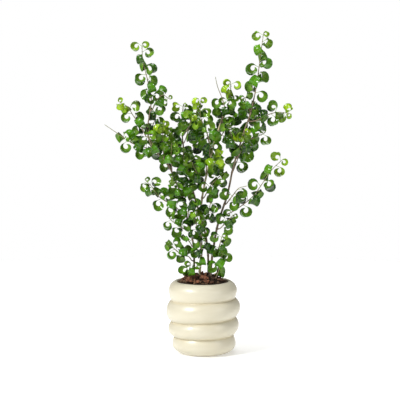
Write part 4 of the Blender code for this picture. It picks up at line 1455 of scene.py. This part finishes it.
def model_leaf():
    """One leaf, laid out flat along +Y: a six-sided rod drawn out and shaped station by station.

    Its blade runs from Y 0 to 1 and is 2 wide, its stalk runs back to Y -1, and its upper side
    faces +Z. Each half of the blade is raised from the midrib and crowned.
    """
    deselect()
    _, _, plant = settings()
    thin = plant.leaf_thickness / plant.leaf_width
    stalk = 0.05
    bpy.ops.mesh.primitive_circle_add(
        vertices=6, radius=stalk, fill_type="NGON", location=(0, -1, 0), rotation=(math.pi / 2, 0, 0)
    )
    made = named("leaf")
    bpy.ops.object.transform_apply(location=True, rotation=True, scale=True)
    edit_all()
    bpy.ops.mesh.extrude_region_move(TRANSFORM_OT_translate={"value": (0, 0.55, 0)})
    bpy.ops.transform.resize(value=(0.8, 1, 0.8), center_override=(0, -0.45, 0))
    bpy.ops.mesh.extrude_region_move(TRANSFORM_OT_translate={"value": (0, 0.45, 0)})
    edited = bmesh.from_edit_mesh(made.data)
    section = sorted((vert for vert in edited.verts if vert.select), key=lambda vert: vert.co.x)
    first = BLADE_OUTLINE[0]
    reach, rise = math.cos(BLADE_FOLD), math.sin(BLADE_FOLD)
    left, middle, right = section[:2], section[2:4], section[4:]
    for side, pair in ((-1, left), (1, right)):
        lower, upper = sorted(pair, key=lambda vert: vert.co.z)
        lower.co = (side * reach * first, 0, rise * first)
        upper.co = (side * 0.52 * reach * first, 0, (0.52 * rise + 0.11) * first)
    bottom, top = sorted(middle, key=lambda vert: vert.co.z)
    bottom.co = (0, 0, -thin)
    top.co = (0, 0, thin)
    bmesh.update_edit_mesh(made.data)
    steps = len(BLADE_OUTLINE)
    for k in range(1, steps):
        along = k / steps
        ratio = BLADE_OUTLINE[k] / BLADE_OUTLINE[k - 1]
        bpy.ops.mesh.extrude_region_move(TRANSFORM_OT_translate={"value": (0, 1 / steps, 0)})
        deep = 1 + (ratio - 1) * (0.9 if k > 1 else 1)
        bpy.ops.transform.resize(value=(ratio, 1, deep), center_override=(0, along, 0))
    bpy.ops.mesh.extrude_region_move(TRANSFORM_OT_translate={"value": (0, 1 / steps, 0)})
    bpy.ops.mesh.merge(type="CENTER")
    bpy.ops.mesh.select_all(action="SELECT")
    bpy.ops.mesh.normals_make_consistent(inside=False)
    for k, ripple in enumerate(BLADE_RIPPLE):
        for side in (-1, 1):
            edge = 0.8 * reach * BLADE_OUTLINE[k]
            select_where(lambda co: abs(co.y - k / steps) < 0.01 and co.x * side > edge > 0.2)
            bpy.ops.transform.translate(value=(0, 0, ripple * side if k % 3 else ripple))
    bpy.ops.object.mode_set(mode="OBJECT")
    return made


def write_leaf(made):
    """Writes on the flat leaf which part of it each point and face is, for the finish to read."""
    mesh = made.data
    steps = len(BLADE_OUTLINE)
    across = []
    for vert in mesh.vertices:
        k = min(max(round(vert.co.y * steps), 0), steps - 1)
        across.append(0.0 if vert.co.y < 0 else vert.co.x / (BLADE_OUTLINE[k] * math.cos(BLADE_FOLD)))
    mark(mesh, "across", across)
    mark(mesh, "along", [vert.co.y for vert in mesh.vertices])
    below = [float(face.normal.z < 0 and face.center.y > 0) for face in mesh.polygons]
    mark(mesh, "under", below, "FACE")


def curl_leaf(leaf, placed):
    """Curls a copy of the flat leaf and brings it to its place on the twig."""
    _, _, plant = settings()
    _, stand, _, size, turn, width = placed
    steps = len(BLADE_OUTLINE)
    points, ups = curl_line(size, turn + TIP_CURL, steps)
    half = width / 2

    def there(flat):
        if flat.y < -0.01:
            local = Vector((flat.x * half, flat.y * plant.petiole * 1.12, flat.z * half))
        else:
            k = round(flat.y * steps)
            local = points[k] + Vector((flat.x * half, 0, 0)) + ups[k] * flat.z * half
        return stand @ local

    place(leaf, there)


def newest_leaf(name, twig, last):
    """The leaf that curls over the end of its twig, on the far side from the last one."""
    _, _, plant = settings()
    chance = random.Random(name + " newest")
    stop, _, out, *_ = last
    point, ahead = twig.at(stop + MM)
    away = (ahead * out.dot(ahead) - out).normalized()
    along = (ahead + away * chance.uniform(0.1, 0.4)).normalized()
    stand = stood(along, ahead, chance.uniform(-0.5, 0.5), point + along * plant.petiole * 0.3)
    size = SHOOTS[name][4] * chance.uniform(*TIP_SIZES)
    return twig.length, stand, away, plant.leaf_curl * size, TIP_TURN, plant.leaf_width * size


def faces_of(piece):
    """A piece's faces, for testing what passes through them."""
    mesh = piece.data
    return BVHTree.FromPolygons(
        [tuple(v.co) for v in mesh.vertices], [tuple(face.vertices) for face in mesh.polygons]
    )


def clear_leaf(name, model, placed, others):
    """A curled leaf and its faces, at the largest size that passes through the least."""
    where, stand, out, size, turn, width = placed
    best = None
    for share in CROWDED_SIZES:
        leaf = copied(model, name)
        curl_leaf(leaf, (where, stand, out, size * share, turn, width * share))
        shape = faces_of(leaf)
        crossed = sum(len(shape.overlap(other)) for other in others)
        if best is None or crossed < best[0]:
            if best:
                discard(best[1])
            best = crossed, leaf, shape
        else:
            discard(leaf)
        if not crossed:
            break
    return best[1:]


def make_leaves(name, model, twig, leaves):
    """A shoot's leaves, each a copy of the flat leaf that is curled into its place."""
    chance = random.Random(name + " colours")
    young = YOUNG_SHOOTS.get(name, PLAIN_YOUTH)
    if ends_in_leaf(name, leaves):
        leaves = [*leaves, newest_leaf(name, twig, leaves[-1])]
    others = [faces_of(piece) for piece in bpy.context.scene.objects if piece.name.endswith(CLEAR_OF)]
    made = []
    for number, placed in enumerate(leaves):
        leaf, shape = clear_leaf(f"{name}_leaf_{number}", model, placed, others)
        others.append(shape)
        share = placed[0] / twig.length
        age = young * max(0.0, (share - 0.45) / 0.55) ** 1.3 + chance.uniform(-0.06, 0.10)
        points = len(leaf.data.vertices)
        mark(leaf.data, "youth", [min(max(age, 0.0), 1.0)] * points)
        mark(leaf.data, "tint", [chance.random()] * points)
        made.append(leaf)
    piece = joined(made, name + "_leaves")
    shade(piece, 75)
    return piece


class FIG_OT_leaves(bpy.types.Operator):
    """Grow the curled leaves, one piece for each shoot"""

    bl_idname = "fig.leaves"
    bl_label = "Leaves"

    def execute(self, context):
        _, _, plant = settings()
        _, twigs, leaves = laid_out()
        model = model_leaf()
        write_leaf(model)
        finish = leaf_finish(plant)
        for name, twig in twigs.items():
            piece = make_leaves(name, model, twig, leaves[name])
            on_frame(piece, finish, "foliage", name)
        discard(model)
        return {"FINISHED"}


# ---- stage ----


def add_lamp(name, place_at, aim, size, power):
    """A large square soft lamp at one place, aimed at another."""
    deselect()
    way = Vector(aim) - Vector(place_at)
    bpy.ops.object.light_add(type="AREA", location=place_at, rotation=way.to_track_quat("-Z", "Y").to_euler())
    lamp = bpy.context.object
    lamp.name = name
    lamp.data.size = size
    lamp.data.energy = power


def floor_finish(stage):
    """Pale matt paper."""
    made = Finish(
        "pale_paper", {"Roughness": 0.9, "Specular IOR Level": 0.1, "Emission Strength": stage.floor_glow}
    )
    shade = made.between(made.noise(3, 3), 0.3, 0.7, 0.0, 0.05)
    made.feed("Base Color", made.blend(shade, stage.floor_colour, (0.80, 0.80, 0.79)))
    return made.material


class FIG_OT_stage(bpy.types.Operator):
    """Set up the floor, the soft lights, the room's light and the camera"""

    bl_idname = "fig.stage"
    bl_label = "Stage"

    def execute(self, context):
        stage = context.scene.fig_stage
        deselect()
        bpy.ops.mesh.primitive_circle_add(
            vertices=96, radius=stage.floor_size / 2, fill_type="TRIFAN", location=(0, 0, 0)
        )
        floor = named("floor")
        floor.data.materials.append(floor_finish(stage))
        for name, lamp in LAMPS.items():
            add_lamp(name, *lamp, getattr(stage, name))
        world = bpy.data.worlds.new("room")
        context.scene.world = world
        world.use_nodes = True
        nodes, links = world.node_tree.nodes, world.node_tree.links
        lit = nodes["Background"]
        lit.inputs["Strength"].default_value = stage.sky
        seen = nodes.new("ShaderNodeBackground")
        seen.inputs["Color"].default_value = (1, 1, 1, 1)
        seen.inputs["Strength"].default_value = 1.0
        lit.inputs["Color"].default_value = (1, 1, 1, 1)
        either = nodes.new("ShaderNodeMixShader")
        links.new(nodes.new("ShaderNodeLightPath").outputs["Is Camera Ray"], either.inputs[0])
        links.new(lit.outputs[0], either.inputs[1])
        links.new(seen.outputs[0], either.inputs[2])
        links.new(either.outputs[0], nodes["World Output"].inputs["Surface"])
        bpy.ops.object.camera_add(
            location=(CAMERA_SIDE, -stage.camera_distance, stage.camera_height),
            rotation=(math.pi / 2 - stage.camera_dip, 0, 0),
        )
        camera = context.object
        camera.name = "camera"
        camera.data.lens = stage.lens
        camera.data.sensor_width = 36.0
        context.scene.camera = camera
        context.scene.view_settings.view_transform = "Standard"
        return {"FINISHED"}


# ---- panel and registration ----


class FIG_PT_panel(bpy.types.Panel):
    """The steps in the order in which they are run"""

    bl_label = "Curly-leaf fig"
    bl_idname = "FIG_PT_panel"
    bl_space_type = "VIEW_3D"
    bl_region_type = "UI"
    bl_category = "Fig"

    def draw(self, context):
        for operator in OPERATORS:
            self.layout.operator(operator.bl_idname)
        for group in GROUPS:
            box = self.layout.box()
            for prop in GROUPS[group].__annotations__:
                box.prop(getattr(context.scene, group), prop)


OPERATORS = (FIG_OT_pot, FIG_OT_soil, FIG_OT_bark, FIG_OT_stems, FIG_OT_twigs, FIG_OT_leaves, FIG_OT_stage)
GROUPS = {
    "fig_pot": PotSettings,
    "fig_soil": SoilSettings,
    "fig_plant": PlantSettings,
    "fig_stage": StageSettings,
}


def register():
    for made in (*GROUPS.values(), *OPERATORS, FIG_PT_panel):
        bpy.utils.register_class(made)
    for name, group in GROUPS.items():
        setattr(bpy.types.Scene, name, PointerProperty(type=group))


def unregister():
    for name in GROUPS:
        delattr(bpy.types.Scene, name)
    for made in reversed((*GROUPS.values(), *OPERATORS, FIG_PT_panel)):
        bpy.utils.unregister_class(made)


def main():
    register()
    bpy.ops.fig.pot()
    bpy.ops.fig.soil()
    bpy.ops.fig.bark()
    bpy.ops.fig.stems()
    bpy.ops.fig.twigs()
    bpy.ops.fig.leaves()
    bpy.ops.fig.stage()


if __name__ == "__main__":
    main()
